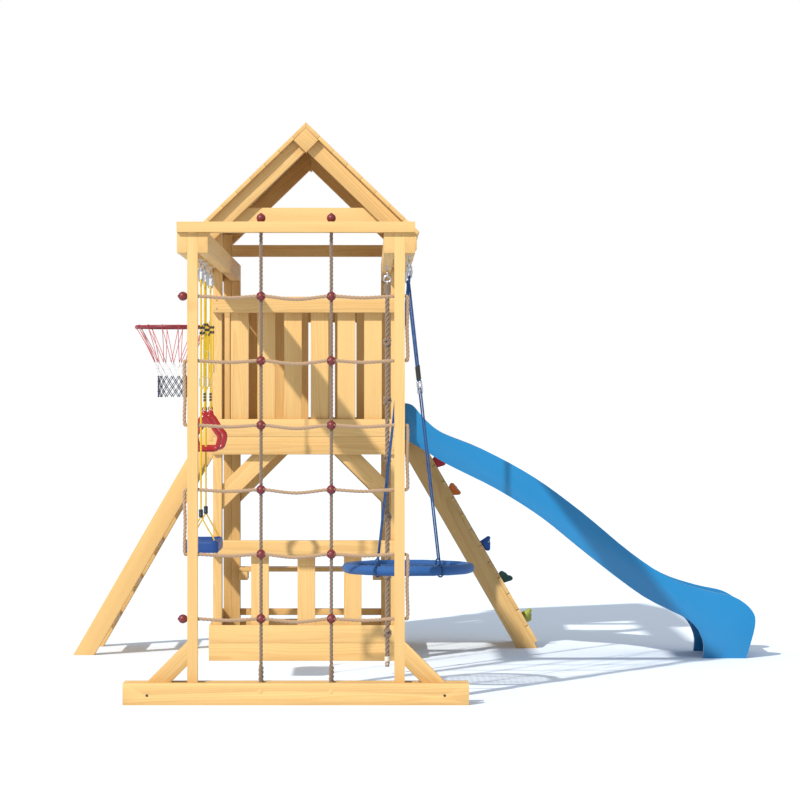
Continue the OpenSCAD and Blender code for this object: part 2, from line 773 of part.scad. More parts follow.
// The line along the middle of the sliding surface, from the deck to the ground.
slide_line = concat(spline(beside_post([[-10, 1208], [50, 1208], [90, 1190], [150, 1118],
    [275, 1018], [520, 893], [770, 733], [1015, 537], [1265, 350], [1400, 286], [1550, 262],
    [1690, 252], [1780, 215], [1805, 130], slide_tail]), 4), beside_post([slide_tail]));
module slide() {
    n = len(slide_line);
    half = slide_bed_t / 2;
    bed = concat([for (i = [0 : n - 1]) slide_line[i] + half * normal2(slide_line, i)],
        [for (i = [n - 1 : -1 : 0]) slide_line[i] - half * normal2(slide_line, i)]);
    color([0.36, 0.68, 0.88]) {
        for (y = [slide_y0, slide_y1 - slide_wall_t])
            upright_plate(y, y + slide_wall_t) polygon(concat(slide_top,
                beside_post(slide_foot), slide_under, beside_post([[slide_x0, 1122]])));
        intersection() {
            upright_plate(slide_y0 + slide_wall_t - eps, slide_y1 - slide_wall_t + eps)
                polygon(bed);
            board(0, slide_top[len(slide_top) - 1][0] + 500, slide_y0, slide_y1, 0, 2 * deck_h);
        }
    }
}

// ---- Hoop ----

hoop_h = guard_h - hoop_drop;
hoop_x = -clad_out - hoop_reach;
hoop_y = side_front_y - 100;
hoop_rod_r = hoop_rod_d / 2;
hoop_line_r = hoop_d / 2 - hoop_rod_r;
module hoop_ring() {
    plate_t = 6;
    arm_r = hoop_line_r + 6;
    color([0.45, 0.10, 0.14]) {
        translate([hoop_x, hoop_y, hoop_h]) rotate_extrude($fn = 96)
            translate([hoop_line_r, 0]) circle(r = hoop_rod_r);
        board(-clad_out - plate_t, -clad_out, hoop_y - 70, hoop_y + 70, hoop_h - 90,
            hoop_h + 30);
        board(hoop_x + hoop_line_r, -clad_out - 1, hoop_y - 45, hoop_y + 45, hoop_h - 6,
            hoop_h + 6);
        for (s = [-1, 1])
            bar([-clad_out - plate_t, hoop_y + s * 45, hoop_h - 80],
                [hoop_x + arm_r * cos(30), hoop_y + s * arm_r * sin(30), hoop_h], 5);
    }
}
// The net narrows from the hoop to a straight tail, open at the top and the bottom.
module hoop_net() {
    t = 3;
    z0 = -hoop_rod_r - clear;
    color([0.85, 0.85, 0.88]) translate([hoop_x, hoop_y, hoop_h]) rotate_extrude($fn = 48)
        polygon([[hoop_line_r, z0], [93, -182], [75, -253], [75, -356], [75 - t, -356],
            [75 - t, -253], [93 - t, -182], [hoop_line_r - t, z0]]);
}

// ---- Fittings under the beams ----

// A ring of round wire in the plane across X.
module ring_x(r, wire) {
    rotate([0, 90, 0]) rotate_extrude() translate([r, 0]) circle(r = wire);
}
module ring_y(r, wire) {
    rotate([90, 0, 0]) rotate_extrude() translate([r, 0]) circle(r = wire);
}
module hanger_eyes() {
    color(steel) for (e = eye_spots) translate([e[0], e[1], 0]) {
        translate([0, 0, eye_z + eye_r]) cylinder(r = eye_shank_r,
            h = beam_z0 + eye_shank_len - eye_z - eye_r);
        translate([0, 0, beam_z0 - 3]) cylinder(r = 14, h = 3);
        translate([0, 0, eye_z]) ring_x(eye_r, wire_r);
    }
}

// Hexagon head, washer, shank and nut along +Z, for timber of a given thickness.
module bolt(grip) {
    translate([0, 0, -3]) cylinder(r = 11, h = 3);
    translate([0, 0, -9]) cylinder(r = 8, h = 6 + eps);
    translate([0, 0, -eps]) cylinder(r = bolt_r, h = grip + 10);
    translate([0, 0, grip]) cylinder(r = 11, h = 3);
    translate([0, 0, grip + 3 - eps]) cylinder(r = 8, h = 6);
}
module frame_bolts() {
    color([0.20, 0.20, 0.22]) for (b = sill_bolts)
        translate([b[0], sill_y0, b[1]]) rotate([-90, 0, 0]) bolt(3 * stock_t);
}

// An oval link that hangs in an eye.
module link() {
    for (z = [link_top_z, link_top_z - link_len])
        translate([0, 0, z]) intersection() {
            ring_y(link_r, wire_r);
            translate([-40, -20, z == link_top_z ? 0 : -40]) cube([80, 40, 40]);
        }
    for (s = [-1, 1])
        translate([s * link_r, 0, link_top_z - link_len]) cylinder(r = wire_r, h = link_len);
}
// The top of a swing rope: a loop on the link, and the rope down to a height.
module hung_rope(z) {
    translate([0, 0, loop_z]) ring_x(loop_r, swing_r);
    translate([0, 0, z]) cylinder(r = swing_r, h = loop_z - loop_r - z);
}

// ---- Swing seat ----

rope_yellow = [0.88, 0.72, 0.16];
seat_t = 55;
split_z = seat_h + 113;
seat_leg_r = 4;
seat_leg_x = seat_w / 2 - 20;
seat_ropes_y = [seat_y0, seat_y0 + seat_rope_gap];
module seat_carabiners() {
    color(steel) for (y = seat_ropes_y) translate([left_x, y, 0]) link();
}
module seat_ropes() {
    color(rope_yellow) for (y = seat_ropes_y) translate([left_x, y, 0]) {
        hung_rope(split_z);
        translate([0, 0, split_z - 5]) cylinder(r = 10, h = 36);
        for (s = [-1, 1]) {
            bar([0, 0, split_z], [s * seat_leg_x, 0, seat_h + 8], seat_leg_r);
            translate([s * seat_leg_x, 0, seat_h + 8]) sphere(r = seat_leg_r);
            translate([s * seat_leg_x, 0, seat_h - 45])
                cylinder(r = seat_leg_r, h = 53);
        }
    }
}
// A shell-shaped seat with a raised rim, hollow below, with a hole for each rope leg.
seat_wall = 8;
seat_dip = 14;
module swing_seat() {
    y_mid = seat_y0 + seat_rope_gap / 2;
    color([0.16, 0.34, 0.66]) translate([left_x, y_mid, seat_h]) difference() {
        union() {
            difference() {
                seat_block(seat_len, seat_w, seat_t);
                translate([0, 0, -seat_dip - seat_wall])
                    seat_block(seat_len - 2 * seat_wall, seat_w - 2 * seat_wall, seat_t);
                translate([0, 0, 1]) seat_block(seat_len - 90, seat_w - 24, seat_dip + 1);
            }
            for (x = [-seat_leg_x, seat_leg_x], y = [-seat_rope_gap / 2, seat_rope_gap / 2])
                translate([x, y, -seat_t]) cylinder(r = 9, h = seat_t - 1);
        }
        for (x = [-seat_leg_x, seat_leg_x], y = [-seat_rope_gap / 2, seat_rope_gap / 2])
            translate([x, y, -seat_t - 1]) cylinder(r = seat_leg_r + clear, h = seat_t + 2);
    }
}
// A block with rounded corners whose top lies at Z 0.
module seat_block(l, w, h) {
    r = 18;
    translate([0, 0, -h]) linear_extrude(h) {
        square([w - 2 * r, l], center = true);
        square([w, l - 2 * r], center = true);
        for (x = [-1, 1], y = [-1, 1])
            translate([x * (w / 2 - r), y * (l / 2 - r)]) circle(r = r);
    }
}

// ---- Hand rings ----

ring_hole_z = 1277;
ring_hole_r = swing_r + 2.5;
ring_lug_t = 11;
ring_t = 25;
ring_loop_z = ring_hole_z - 0.5 + loop_r;
module ring_rope(y) {
    color(rope_yellow) translate([left_x, y, 0]) {
        link();
        hung_rope(ring_loop_z + loop_r);
        translate([0, 0, ring_loop_z]) ring_x(loop_r, swing_r);
    }
}
// Outline of the ring on one side of the middle, a distance inside its outer edge.
function ring_side(inset) = let (w = hand_ring_w / 2 - inset, b = -hand_ring_h + inset,
        corner = 30 - inset / 2)
    concat([for (a = [0 : 15 : 90])
            [w - 6 - corner + corner * sin(a), b + corner - corner * cos(a)]],
        [[w, -hand_ring_h + 68]],
        [for (a = [15 : 15 : 75]) let (r = 24 - inset / 3)
            [w - r + r * cos(a), -hand_ring_h + 68 + r * sin(a)]]);
module hand_ring(y) {
    outer = concat([[0, -hand_ring_h]], ring_side(0), [[24, -28], [13, -8], [0, -8]]);
    inner = concat([[0, -hand_ring_h + 26]], ring_side(26), [[14, -70], [0, -64]]);
    color([0.80, 0.05, 0.08]) translate([left_x, y, ring_hole_z]) difference() {
        union() {
            both_sides() difference() {
                upright_plate(-ring_t / 2, ring_t / 2) polygon(outer);
                upright_plate(-ring_t, ring_t) polygon(inner);
                translate([-1, -ring_t, -32]) cube([60, ring_t - ring_lug_t / 2, 60]);
                translate([-1, ring_lug_t / 2, -32]) cube([60, ring_t, 60]);
            }
            rotate([90, 0, 0]) translate([0, 0, -ring_lug_t / 2])
                cylinder(r = ring_hole_r + 5, h = ring_lug_t);
        }
        rotate([90, 0, 0]) cylinder(r = ring_hole_r, h = 60, center = true);
    }
}
module near_ring_rope() { ring_rope(ring_near_y); }
module far_ring_rope() { ring_rope(ring_far_y); }
module near_hand_ring() { hand_ring(ring_near_y); }
module far_hand_ring() { hand_ring(ring_far_y); }

// ---- Nest swing ----

nest_line_r = (nest_d - nest_rim_d) / 2;
nest_rope_a = 60;
nest_leg_r = 4;
adjuster_z = 1390;
nest_wrap_r = nest_rim_d / 2 + clear + nest_leg_r;
// Two ropes hang from each hook and end in loops around the rim.
module nest_leg(sx, sy) {
    top = [0, sy * nest_hook_dy, loop_z - loop_r];
    end = [sx * nest_line_r * cos(nest_rope_a), sy * nest_line_r * sin(nest_rope_a),
        nest_h + nest_wrap_r];
    mid = top + (end - top) * (top[2] - adjuster_z) / (top[2] - end[2]);
    bar(top, mid, swing_r);
    bar(mid, end, nest_leg_r);
    translate(mid) sphere(r = 9);
    translate([end[0], end[1], nest_h]) rotate([0, 0, sx * sy * nest_rope_a])
        ring_y(nest_wrap_r, nest_leg_r);
}
module nest_ropes() {
    color([0.15, 0.30, 0.62]) translate([outer_beam_x, nest_y, 0]) for (sy = [-1, 1]) {
        translate([0, sy * nest_hook_dy, 0]) {
            link();
            translate([0, 0, loop_z]) ring_x(loop_r, swing_r);
        }
        for (sx = [-1, 1]) nest_leg(sx, sy);
    }
}
module nest_rim() {
    color([0.10, 0.16, 0.34]) translate([outer_beam_x, nest_y, nest_h])
        rotate_extrude($fn = 96) translate([nest_line_r, 0]) circle(d = nest_rim_d);
}
// The web fills the rim, with a notch at each rope loop.
module nest_web() {
    notch_r = nest_line_r - nest_wrap_r;
    color([0.12, 0.20, 0.45]) translate([outer_beam_x, nest_y, nest_h]) difference() {
        cylinder(r = nest_line_r - nest_rim_d / 2 - clear, h = 10, center = true, $fn = 96);
        for (sx = [-1, 1], sy = [-1, 1])
            translate([sx * notch_r * cos(nest_rope_a), sy * notch_r * sin(nest_rope_a), 0])
                cylinder(r = nest_leg_r + 2, h = 12, center = true);
    }
}

// ---- Climbing rope ----

fit_ring_z = pivot_z + 2 * wire_r + clear - eye_r;
fit_eye_r = 9;
fit_eye_z = fit_ring_z - eye_r + 2 * wire_r + clear - fit_eye_r;
ferrule_z1 = fit_eye_z - fit_eye_r;
ferrule_len = 45;
climb_low_z = 38;
knot_low_z = 195;
knot_high_z = ferrule_z1 - ferrule_len - 230;
knot_count = 6;
climb_r = climb_rope_d / 2;
module climbing_rope_fitting() {
    color(steel) translate([inner_beam_x, climb_y, 0]) {
        translate([0, 0, fit_ring_z]) ring_y(eye_r, wire_r);
        translate([0, 0, fit_eye_z]) ring_x(fit_eye_r, wire_r);
        difference() {
            translate([0, 0, ferrule_z1 - ferrule_len]) cylinder(r = climb_r + 3.5, h = ferrule_len);
            translate([0, 0, ferrule_z1 - ferrule_len - 1])
                cylinder(r = climb_r + clear, h = ferrule_len - 4);
        }
    }
}
module climbing_rope() {
    color([0.80, 0.70, 0.52]) translate([inner_beam_x, climb_y, climb_low_z])
        cylinder(r = climb_r, h = ferrule_z1 - 5 - clear - climb_low_z);
}
module climbing_rope_knots() {
    step = (knot_high_z - knot_low_z) / (knot_count - 1);
    color([0.80, 0.70, 0.52]) for (i = [0 : knot_count - 1])
        translate([inner_beam_x, climb_y, knot_low_z + i * step]) difference() {
            sphere(d = knot_d);
            cylinder(r = climb_r + clear, h = knot_d, center = true);
        }
}

net_posts();
net_sills();
net_sill_braces();
net_top_cap();
left_swing_beam();
right_swing_beam();
beam_spacers();
net_zigzag_rope();
net_upright_ropes();
net_connectors();
net_stop_balls();
tower_posts();
beam_props();
deck_frame();
deck_boards();
deck_aprons();
deck_braces();
upper_front_rail();
upper_front_pickets();
upper_back_guard();
side_guard_frames();
side_guard_pickets();
low_front_rail();
low_front_pickets();
sandbox_boards();
bench();
rafters();
collar_tie();
back_tie();
ridge_blocks();
roof_boards_left();
roof_boards_right();
ladder_rails();
ladder_treads();
climbing_wall_rails();
climbing_wall_boards();
climbing_hold_1();
climbing_hold_2();
climbing_hold_3();
climbing_hold_4();
climbing_hold_5();
climbing_hold_bolts();
slide();
hoop_ring();
hoop_net();
hanger_eyes();
frame_bolts();
seat_carabiners();
seat_ropes();
swing_seat();
near_ring_rope();
near_hand_ring();
far_ring_rope();
far_hand_ring();
nest_ropes();
nest_rim();
nest_web();
climbing_rope_fitting();
climbing_rope();
climbing_rope_knots();
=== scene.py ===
"""The looks of the wooden play tower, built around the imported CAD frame. Metres, +Z up."""

import random
from math import atan2, cos, exp, hypot, pi, radians, sin, sqrt

import bmesh
import bpy
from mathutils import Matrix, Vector, noise


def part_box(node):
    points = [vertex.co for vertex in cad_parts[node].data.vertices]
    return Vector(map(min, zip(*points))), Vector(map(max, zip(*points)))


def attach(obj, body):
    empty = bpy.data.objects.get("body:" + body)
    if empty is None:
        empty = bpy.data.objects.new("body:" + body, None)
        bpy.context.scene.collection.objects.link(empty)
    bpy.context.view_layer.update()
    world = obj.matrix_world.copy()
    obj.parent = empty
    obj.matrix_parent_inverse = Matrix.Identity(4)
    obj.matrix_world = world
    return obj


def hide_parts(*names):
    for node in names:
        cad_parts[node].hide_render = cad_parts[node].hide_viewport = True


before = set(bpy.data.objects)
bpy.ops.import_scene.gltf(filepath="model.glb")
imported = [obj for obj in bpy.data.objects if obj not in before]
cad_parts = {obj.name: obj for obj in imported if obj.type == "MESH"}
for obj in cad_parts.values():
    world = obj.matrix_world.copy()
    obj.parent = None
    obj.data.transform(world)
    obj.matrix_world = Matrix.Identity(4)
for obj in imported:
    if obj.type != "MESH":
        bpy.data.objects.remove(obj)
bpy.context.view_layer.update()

TAU = 2 * pi
UP = Vector((0, 0, 1))
FRONT = Vector((0, -1, 0))
BACK = Vector((0, 1, 0))

# ---- camera, light and floor ----

CAMERA_AT = (0.317, -13.0525, 1.343)
LENS_MM = 135.5
LENS_SHIFT = (0.03875, -0.00625)
SUN_STRENGTH = 3.95
SKY_STRENGTH = 0.67
FLOOR_HALF = 60
SUN_TRAVEL = Vector((0.427, 0.605, -0.561))


def linked(obj):
    """Puts an object in the scene."""
    bpy.context.scene.collection.objects.link(obj)
    return obj


def make_camera():
    data = bpy.data.cameras.new("camera")
    data.lens = LENS_MM
    data.sensor_width = 36
    data.shift_x, data.shift_y = LENS_SHIFT
    data.clip_end = 200
    camera = linked(bpy.data.objects.new("camera", data))
    camera.location = CAMERA_AT
    camera.rotation_euler = (radians(90), 0, 0)
    bpy.context.scene.camera = camera


def make_light():
    data = bpy.data.lights.new("sun", "SUN")
    data.energy = SUN_STRENGTH
    data.angle = radians(1.2)
    data.color = (1.0, 0.96, 0.90)
    sun = linked(bpy.data.objects.new("sun", data))
    sun.rotation_mode = "QUATERNION"
    sun.rotation_quaternion = SUN_TRAVEL.to_track_quat("-Z", "Y")
    world = bpy.data.worlds.new("sky")
    world.use_nodes = True
    tree = world.node_tree
    sky = tree.nodes["Background"]
    sky.inputs["Color"].default_value = (0.86, 0.92, 1.0, 1)
    sky.inputs["Strength"].default_value = SKY_STRENGTH
    backdrop = tree.nodes.new("ShaderNodeBackground")
    backdrop.inputs["Color"].default_value = (1, 1, 1, 1)
    seen = tree.nodes.new("ShaderNodeLightPath").outputs["Is Camera Ray"]
    mixed = tree.nodes.new("ShaderNodeMixShader")
    for value, socket in ((seen, 0), (sky.outputs[0], 1), (backdrop.outputs[0], 2)):
        tree.links.new(value, mixed.inputs[socket])
    tree.links.new(mixed.outputs[0], tree.nodes["World Output"].inputs["Surface"])
    bpy.context.scene.world = world
    bpy.context.scene.view_settings.view_transform = "Standard"


def make_floor():
    material = bpy.data.materials.new("floor")
    material.use_nodes = True
    shader = material.node_tree.nodes["Principled BSDF"]
    shader.inputs["Base Color"].default_value = (0.78, 0.86, 0.96, 1)
    shader.inputs["Roughness"].default_value = 0.9
    mesh = bpy.data.meshes.new("floor")
    mesh.from_pydata([(x * FLOOR_HALF, y * FLOOR_HALF, 0)
                      for x, y in ((-1, -1), (1, -1), (1, 1), (-1, 1))], [], [(0, 1, 2, 3)])
    mesh.materials.append(material)
    linked(bpy.data.objects.new("floor", mesh))


make_camera()
make_light()
make_floor()


# ---- shader helpers ----

class Shader:
    """A material's node tree, with short calls to add to it."""

    def __init__(self, name):
        self.material = bpy.data.materials.new(name)
        self.material.use_nodes = True
        self.tree = self.material.node_tree
        self.main = self.tree.nodes["Principled BSDF"]

    def node(self, kind, inputs=None, **settings):
        made = self.tree.nodes.new(kind)
        for key, value in settings.items():
            setattr(made, key, value)
        for key, value in (inputs or {}).items():
            self.plug(made.inputs[key], value)
        return made

    def plug(self, socket, value):
        """Links or sets a socket. A colour is three numbers, and gets its alpha of 1 here."""
        if isinstance(value, bpy.types.NodeSocket):
            self.tree.links.new(value, socket)
        elif socket.type == "RGBA":
            socket.default_value = (*value, 1.0)
        else:
            socket.default_value = value

    def math(self, operation, a, b=0.0, clamp=False):
        return self.node("ShaderNodeMath", {0: a, 1: b}, operation=operation,
                         use_clamp=clamp).outputs[0]

    def add(self, a, b, clamp=False):
        return self.math("ADD", a, b, clamp)

    def less(self, a, b):
        return self.math("SUBTRACT", a, b)

    def times(self, a, b):
        return self.math("MULTIPLY", a, b)

    def attribute(self, name, output="Vector"):
        return self.node("ShaderNodeAttribute", attribute_name=name).outputs[output]

    def scaled(self, vector, scale):
        return self.node("ShaderNodeVectorMath", {0: vector, 1: scale},
                         operation="MULTIPLY").outputs[0]

    def noise(self, vector, scale, detail=3.0, rough=0.55):
        return self.node("ShaderNodeTexNoise", {"Vector": vector, "Scale": scale,
                                                "Detail": detail, "Roughness": rough}).outputs["Fac"]

    def streaks(self, vector, scale, detail=3.0, rough=0.55):
        """Noise that is stretched by a scale along each axis."""
        return self.noise(self.scaled(vector, scale), 1.0, detail, rough)

    def band(self, value, low, high):
        """0 below low, 1 above high, and smooth between them."""
        return self.node("ShaderNodeMapRange", {"Value": value, "From Min": low, "From Max": high},
                         interpolation_type="SMOOTHSTEP").outputs["Result"]

    def within(self, value, low, high):
        """1 below low, 0 above high, and smooth between them."""
        return self.less(1.0, self.band(value, low, high))

    def mix(self, share, a, b):
        made = self.node("ShaderNodeMix", data_type="RGBA")
        self.plug(made.inputs[0], share)
        self.plug(made.inputs[6], a)
        self.plug(made.inputs[7], b)
        return made.outputs[2]

    def bump(self, height, strength, distance):
        made = self.node("ShaderNodeBump", {"Height": height, "Strength": strength,
                                            "Distance": distance})
        self.plug(self.main.inputs["Normal"], made.outputs[0])

    def set(self, **values):
        for key, value in values.items():
            self.plug(self.main.inputs[key.replace("_", " ")], value)
        return self.material

    def place(self):
        return self.node("ShaderNodeTexCoord").outputs["Object"]


# ---- materials ----

RINGS_PER_METRE = 150.0
RING_SHARE = 0.34


def pine(name, pale, deep):
    """Planed pine: growth rings cut by each board at its own place in the log, fibres and knots."""
    s = Shader(name)
    grain = s.attribute("grain")
    tint = s.attribute("tint", "Fac")
    along = s.node("ShaderNodeSeparateXYZ", {0: grain}).outputs
    slow = s.streaks(grain, (0.9, 5.0, 5.0), 2.0)
    fine = s.streaks(grain, (7.0, 60.0, 60.0), 2.0)
    across = s.math("POWER", s.add(s.math("POWER", along[1], 2.0),
                                   s.math("POWER", along[2], 2.0)), 0.5)
    knots = s.node("ShaderNodeTexVoronoi", {"Vector": s.scaled(grain, (2.3, 6.5, 0.7)),
                                            "Scale": 1.0, "Randomness": 1.0})
    near_knot = knots.outputs["Distance"]
    chosen = s.band(s.node("ShaderNodeSeparateColor", {0: knots.outputs["Color"]}).outputs[0],
                    0.52, 0.54)
    swirl = s.times(s.within(near_knot, 0.05, 0.42), chosen)
    radius = s.add(across, s.times(slow, 0.040))
    radius = s.add(radius, s.times(swirl, 0.016))
    radius = s.add(radius, s.times(fine, 0.0022))
    phase = s.math("FRACT", s.times(radius, RINGS_PER_METRE))
    late = s.times(s.band(phase, 0.25, 0.88), s.within(phase, 0.90, 1.0))
    fibre = s.streaks(grain, (14.0, 520.0, 520.0), 3.0)
    streak = s.streaks(grain, (1.6, 34.0, 34.0), 4.0, 0.6)
    share = s.times(late, RING_SHARE)
    share = s.add(share, s.times(s.less(streak, 0.45), 0.9))
    share = s.add(share, s.times(s.less(fibre, 0.5), 0.35))
    share = s.add(share, s.times(s.less(tint, 0.5), 0.55), clamp=True)
    base = s.mix(share, pale, deep)
    halo = s.times(s.within(near_knot, 0.05, 0.13), chosen)
    base = s.mix(s.times(halo, 0.55), base, (0.50, 0.24, 0.07))
    heart = s.times(s.within(near_knot, 0.035, 0.06), chosen)
    base = s.mix(s.times(heart, 0.80), base, (0.22, 0.085, 0.025))
    s.bump(s.add(s.times(late, 0.4), fibre), 0.16, 0.0010)
    rough = s.add(0.50, s.times(fibre, 0.16))
    return s.set(Base_Color=base, Roughness=rough, Specular_IOR_Level=0.35)


def rope(name, pale, deep, fuzz=0.5, sheen=0.3):
    """Laid rope: fibres run along each strand, with painted shade darkening the grooves between the
    strands.
    """
    s = Shader(name)
    fibre = s.attribute("fibre")
    yarn = s.streaks(fibre, (60.0, 5.0, 1.0), 4.0)
    streak = s.streaks(fibre, (3.0, 18.0, 1.0), 2.0)
    groove_shade = s.attribute("groove_shade", "Fac")
    share = s.add(s.times(yarn, 0.45), s.times(streak, 0.30))
    # painted shade: the grooves between the strands are darkened towards the deep colour
    share = s.add(share, s.times(groove_shade, 0.55), clamp=True)
    s.bump(s.add(yarn, streak), fuzz, 0.0010)
    return s.set(Base_Color=s.mix(share, pale, deep), Roughness=0.85, Sheen_Weight=sheen,
                 Sheen_Roughness=0.6)


def moulded(name, colour, dark, roughness=0.35, grain=0.05, coat=0.0, scuff=0.5):
    """Moulded plastic with slight colour variation, a fine grain, and paler scuffs."""
    s = Shader(name)
    at = s.place()
    cloud = s.noise(at, 6.0, 3.0)
    speck = s.noise(at, 420.0, 2.0)
    scratch = s.band(s.streaks(at, (40.0, 9.0, 70.0), 5.0, 0.7), 0.62, 0.78)
    base = s.mix(s.times(cloud, 0.5), colour, dark)
    pale = tuple(min(1.0, 0.6 * c + 0.25) for c in colour)
    base = s.mix(s.times(scratch, 0.12 * scuff), base, pale)
    rough = s.add(roughness, s.times(scratch, 0.15))
    s.bump(speck, grain, 0.0006)
    return s.set(Base_Color=base, Roughness=rough, Coat_Weight=coat, Coat_Roughness=0.12)


def metal(name, colour, roughness=0.32, metallic=1.0):
    """Plated or coated metal with fine brushing and small marks."""
    s = Shader(name)
    at = s.place()
    brushed = s.streaks(at, (60.0, 60.0, 900.0), 3.0)
    marks = s.noise(at, 90.0, 4.0)
    shade = tuple(0.72 * c for c in colour)
    rough = s.add(roughness - 0.08, s.times(marks, 0.20))
    s.bump(brushed, 0.08, 0.0004)
    return s.set(Base_Color=s.mix(marks, colour, shade), Roughness=rough, Metallic=metallic)


def resin(name, colour, dark):
    """Cast climbing-hold resin: sandy grain and worn paler spots."""
    s = Shader(name)
    at = s.place()
    grit = s.noise(at, 900.0, 4.0, 0.7)
    cloud = s.noise(at, 28.0, 3.0)
    worn = s.band(s.noise(at, 45.0, 4.0), 0.60, 0.74)
    pale = tuple(min(1.0, 0.7 * c + 0.16) for c in colour)
    base = s.mix(cloud, colour, dark)
    base = s.mix(s.times(worn, 0.35), base, pale)
    s.bump(grit, 0.55, 0.0009)
    return s.set(Base_Color=base, Roughness=0.62)


def sleeve(name, colour, dark):
    """A tightly woven padded sleeve."""
    s = Shader(name)
    fibre = s.attribute("fibre")
    warp = s.node("ShaderNodeTexWave", {"Vector": s.scaled(fibre, (1.0, 0.0, 0.0)), "Scale": 120.0,
                                        "Distortion": 1.5})
    weft = s.node("ShaderNodeTexWave", {"Vector": s.scaled(fibre, (0.0, 1.0, 0.0)), "Scale": 3.0,
                                        "Distortion": 1.5}, bands_direction="Y")
    weave = s.times(warp.outputs["Fac"], weft.outputs["Fac"])
    cloud = s.noise(s.place(), 12.0, 3.0)
    base = s.mix(s.add(s.times(weave, 0.5), s.times(cloud, 0.4)), colour, dark)
    s.bump(weave, 0.35, 0.0008)
    return s.set(Base_Color=base, Roughness=0.75, Sheen_Weight=0.10, Sheen_Roughness=0.5)


MATERIALS = {}
for make, name, *settings in (
        (pine, "pine", (0.655, 0.420, 0.162), (0.500, 0.262, 0.076)),
        (rope, "rope_tan", (0.49, 0.315, 0.180), (0.22, 0.125, 0.065)),
        (rope, "rope_brown", (0.27, 0.175, 0.105), (0.10, 0.060, 0.034)),
        (rope, "rope_yellow", (0.76, 0.52, 0.012), (0.50, 0.29, 0.006), 0.3, 0.1),
        (rope, "rope_blue", (0.010, 0.080, 0.25), (0.004, 0.036, 0.13), 0.3, 0.1),
        (rope, "rope_frayed", (0.86, 0.80, 0.68), (0.52, 0.42, 0.28), 0.6),
        (rope, "cord_red", (0.62, 0.03, 0.04), (0.28, 0.01, 0.015), 0.3),
        (rope, "cord_white", (0.86, 0.86, 0.86), (0.52, 0.53, 0.56), 0.3),
        (rope, "cord_blue", (0.012, 0.022, 0.07), (0.005, 0.008, 0.03), 0.3),
        (moulded, "dark_red_plastic", (0.175, 0.016, 0.018), (0.105, 0.008, 0.010), 0.42, 0.08),
        (moulded, "sky_blue_plastic", (0.004, 0.180, 0.405), (0.003, 0.155, 0.360), 0.30, 0.05,
         0.15, 0.3),
        (moulded, "seat_blue", (0.006, 0.052, 0.22), (0.004, 0.036, 0.165), 0.45, 0.12),
        (moulded, "ring_red", (0.33, 0.004, 0.006), (0.25, 0.003, 0.004), 0.22, 0.02, 0.4),
        (rope, "black_cord", (0.030, 0.030, 0.032), (0.010, 0.010, 0.011), 0.3, 0.1),
        (moulded, "black_plastic", (0.018, 0.018, 0.020), (0.008, 0.008, 0.009), 0.4),
        (metal, "hoop_red", (0.22, 0.010, 0.018), 0.38, 0.0),
        (sleeve, "nest_cover", (0.007, 0.088, 0.29), (0.004, 0.048, 0.18)),
        (rope, "nest_cord", (0.010, 0.080, 0.25), (0.004, 0.036, 0.13), 0.3, 0.1),
        (metal, "zinc_steel", (0.66, 0.66, 0.68), 0.30),
        (metal, "dark_steel", (0.055, 0.052, 0.050), 0.45, 0.6),
        (resin, "hold_olive", (0.36, 0.40, 0.05), (0.24, 0.27, 0.03)),
        (resin, "hold_dark_green", (0.020, 0.105, 0.10), (0.010, 0.06, 0.06)),
        (resin, "hold_blue", (0.015, 0.10, 0.40), (0.01, 0.06, 0.26)),
        (resin, "hold_orange", (0.72, 0.19, 0.02), (0.52, 0.11, 0.01)),
        (resin, "hold_red", (0.46, 0.010, 0.028), (0.32, 0.005, 0.016))):
    MATERIALS[name] = make(name, *settings)


# ---- mesh helpers ----

def settled(name, mesh, material, body, nodes, smooth=True):
    """An object of the mesh, put under its body, with the CAD nodes that it stands in for hidden."""
    mesh.materials.clear()
    mesh.materials.append(MATERIALS[material])
    mesh.polygons.foreach_set("use_smooth", [smooth] * len(mesh.polygons))
    piece = linked(bpy.data.objects.new(name, mesh))
    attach(piece, body)
    if nodes:
        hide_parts(*nodes)
    return piece


def set_attributes(mesh, attributes):
    """Attributes are {name: one number or vector per vertex}."""
    for key, values in (attributes or {}).items():
        single = isinstance(values[0], float)
        made = mesh.attributes.new(key, "FLOAT" if single else "FLOAT_VECTOR", "POINT")
        made.data.foreach_set("value" if single else "vector",
                              values if single else [c for v in values for c in v])


def new_piece(name, parts, material, body="root", nodes=(), smooth=True,
              attributes=None):
    """A piece of (vertices, faces) parts. Its one slot holds the named material."""
    verts, faces = joined(parts)
    mesh = bpy.data.meshes.new(name)
    mesh.from_pydata([tuple(v) for v in verts], [], faces)
    bm = bmesh.new()
    bm.from_mesh(mesh)
    bmesh.ops.recalc_face_normals(bm, faces=bm.faces)
    bm.to_mesh(mesh)
    bm.free()
    set_attributes(mesh, attributes)
    return settled(name, mesh, material, body, nodes, smooth)


def turned(u, v, angle):
    """The direction at an angle from u towards v."""
    return u * cos(angle) + v * sin(angle)


def polar(radius, angle, z=0.0):
    return Vector((radius * cos(angle), radius * sin(angle), z))


def spline(points, closed=False, steps=8):
    """A smooth line through the points."""
    p = [Vector(v) for v in points]
    n = len(p)
    line = []
    for i in range(n if closed else n - 1):
        a, b, c, d = (p[j % n] if closed else p[min(max(j, 0), n - 1)] for j in range(i - 1, i + 3))
        for k in range(steps):
            t = k / steps
            line.append(0.5 * (2 * b + (c - a) * t + (2 * a - 5 * b + 4 * c - d) * t * t
                               + (3 * b - a - 3 * c + d) * t ** 3))
    return line if closed else line + [p[-1]]


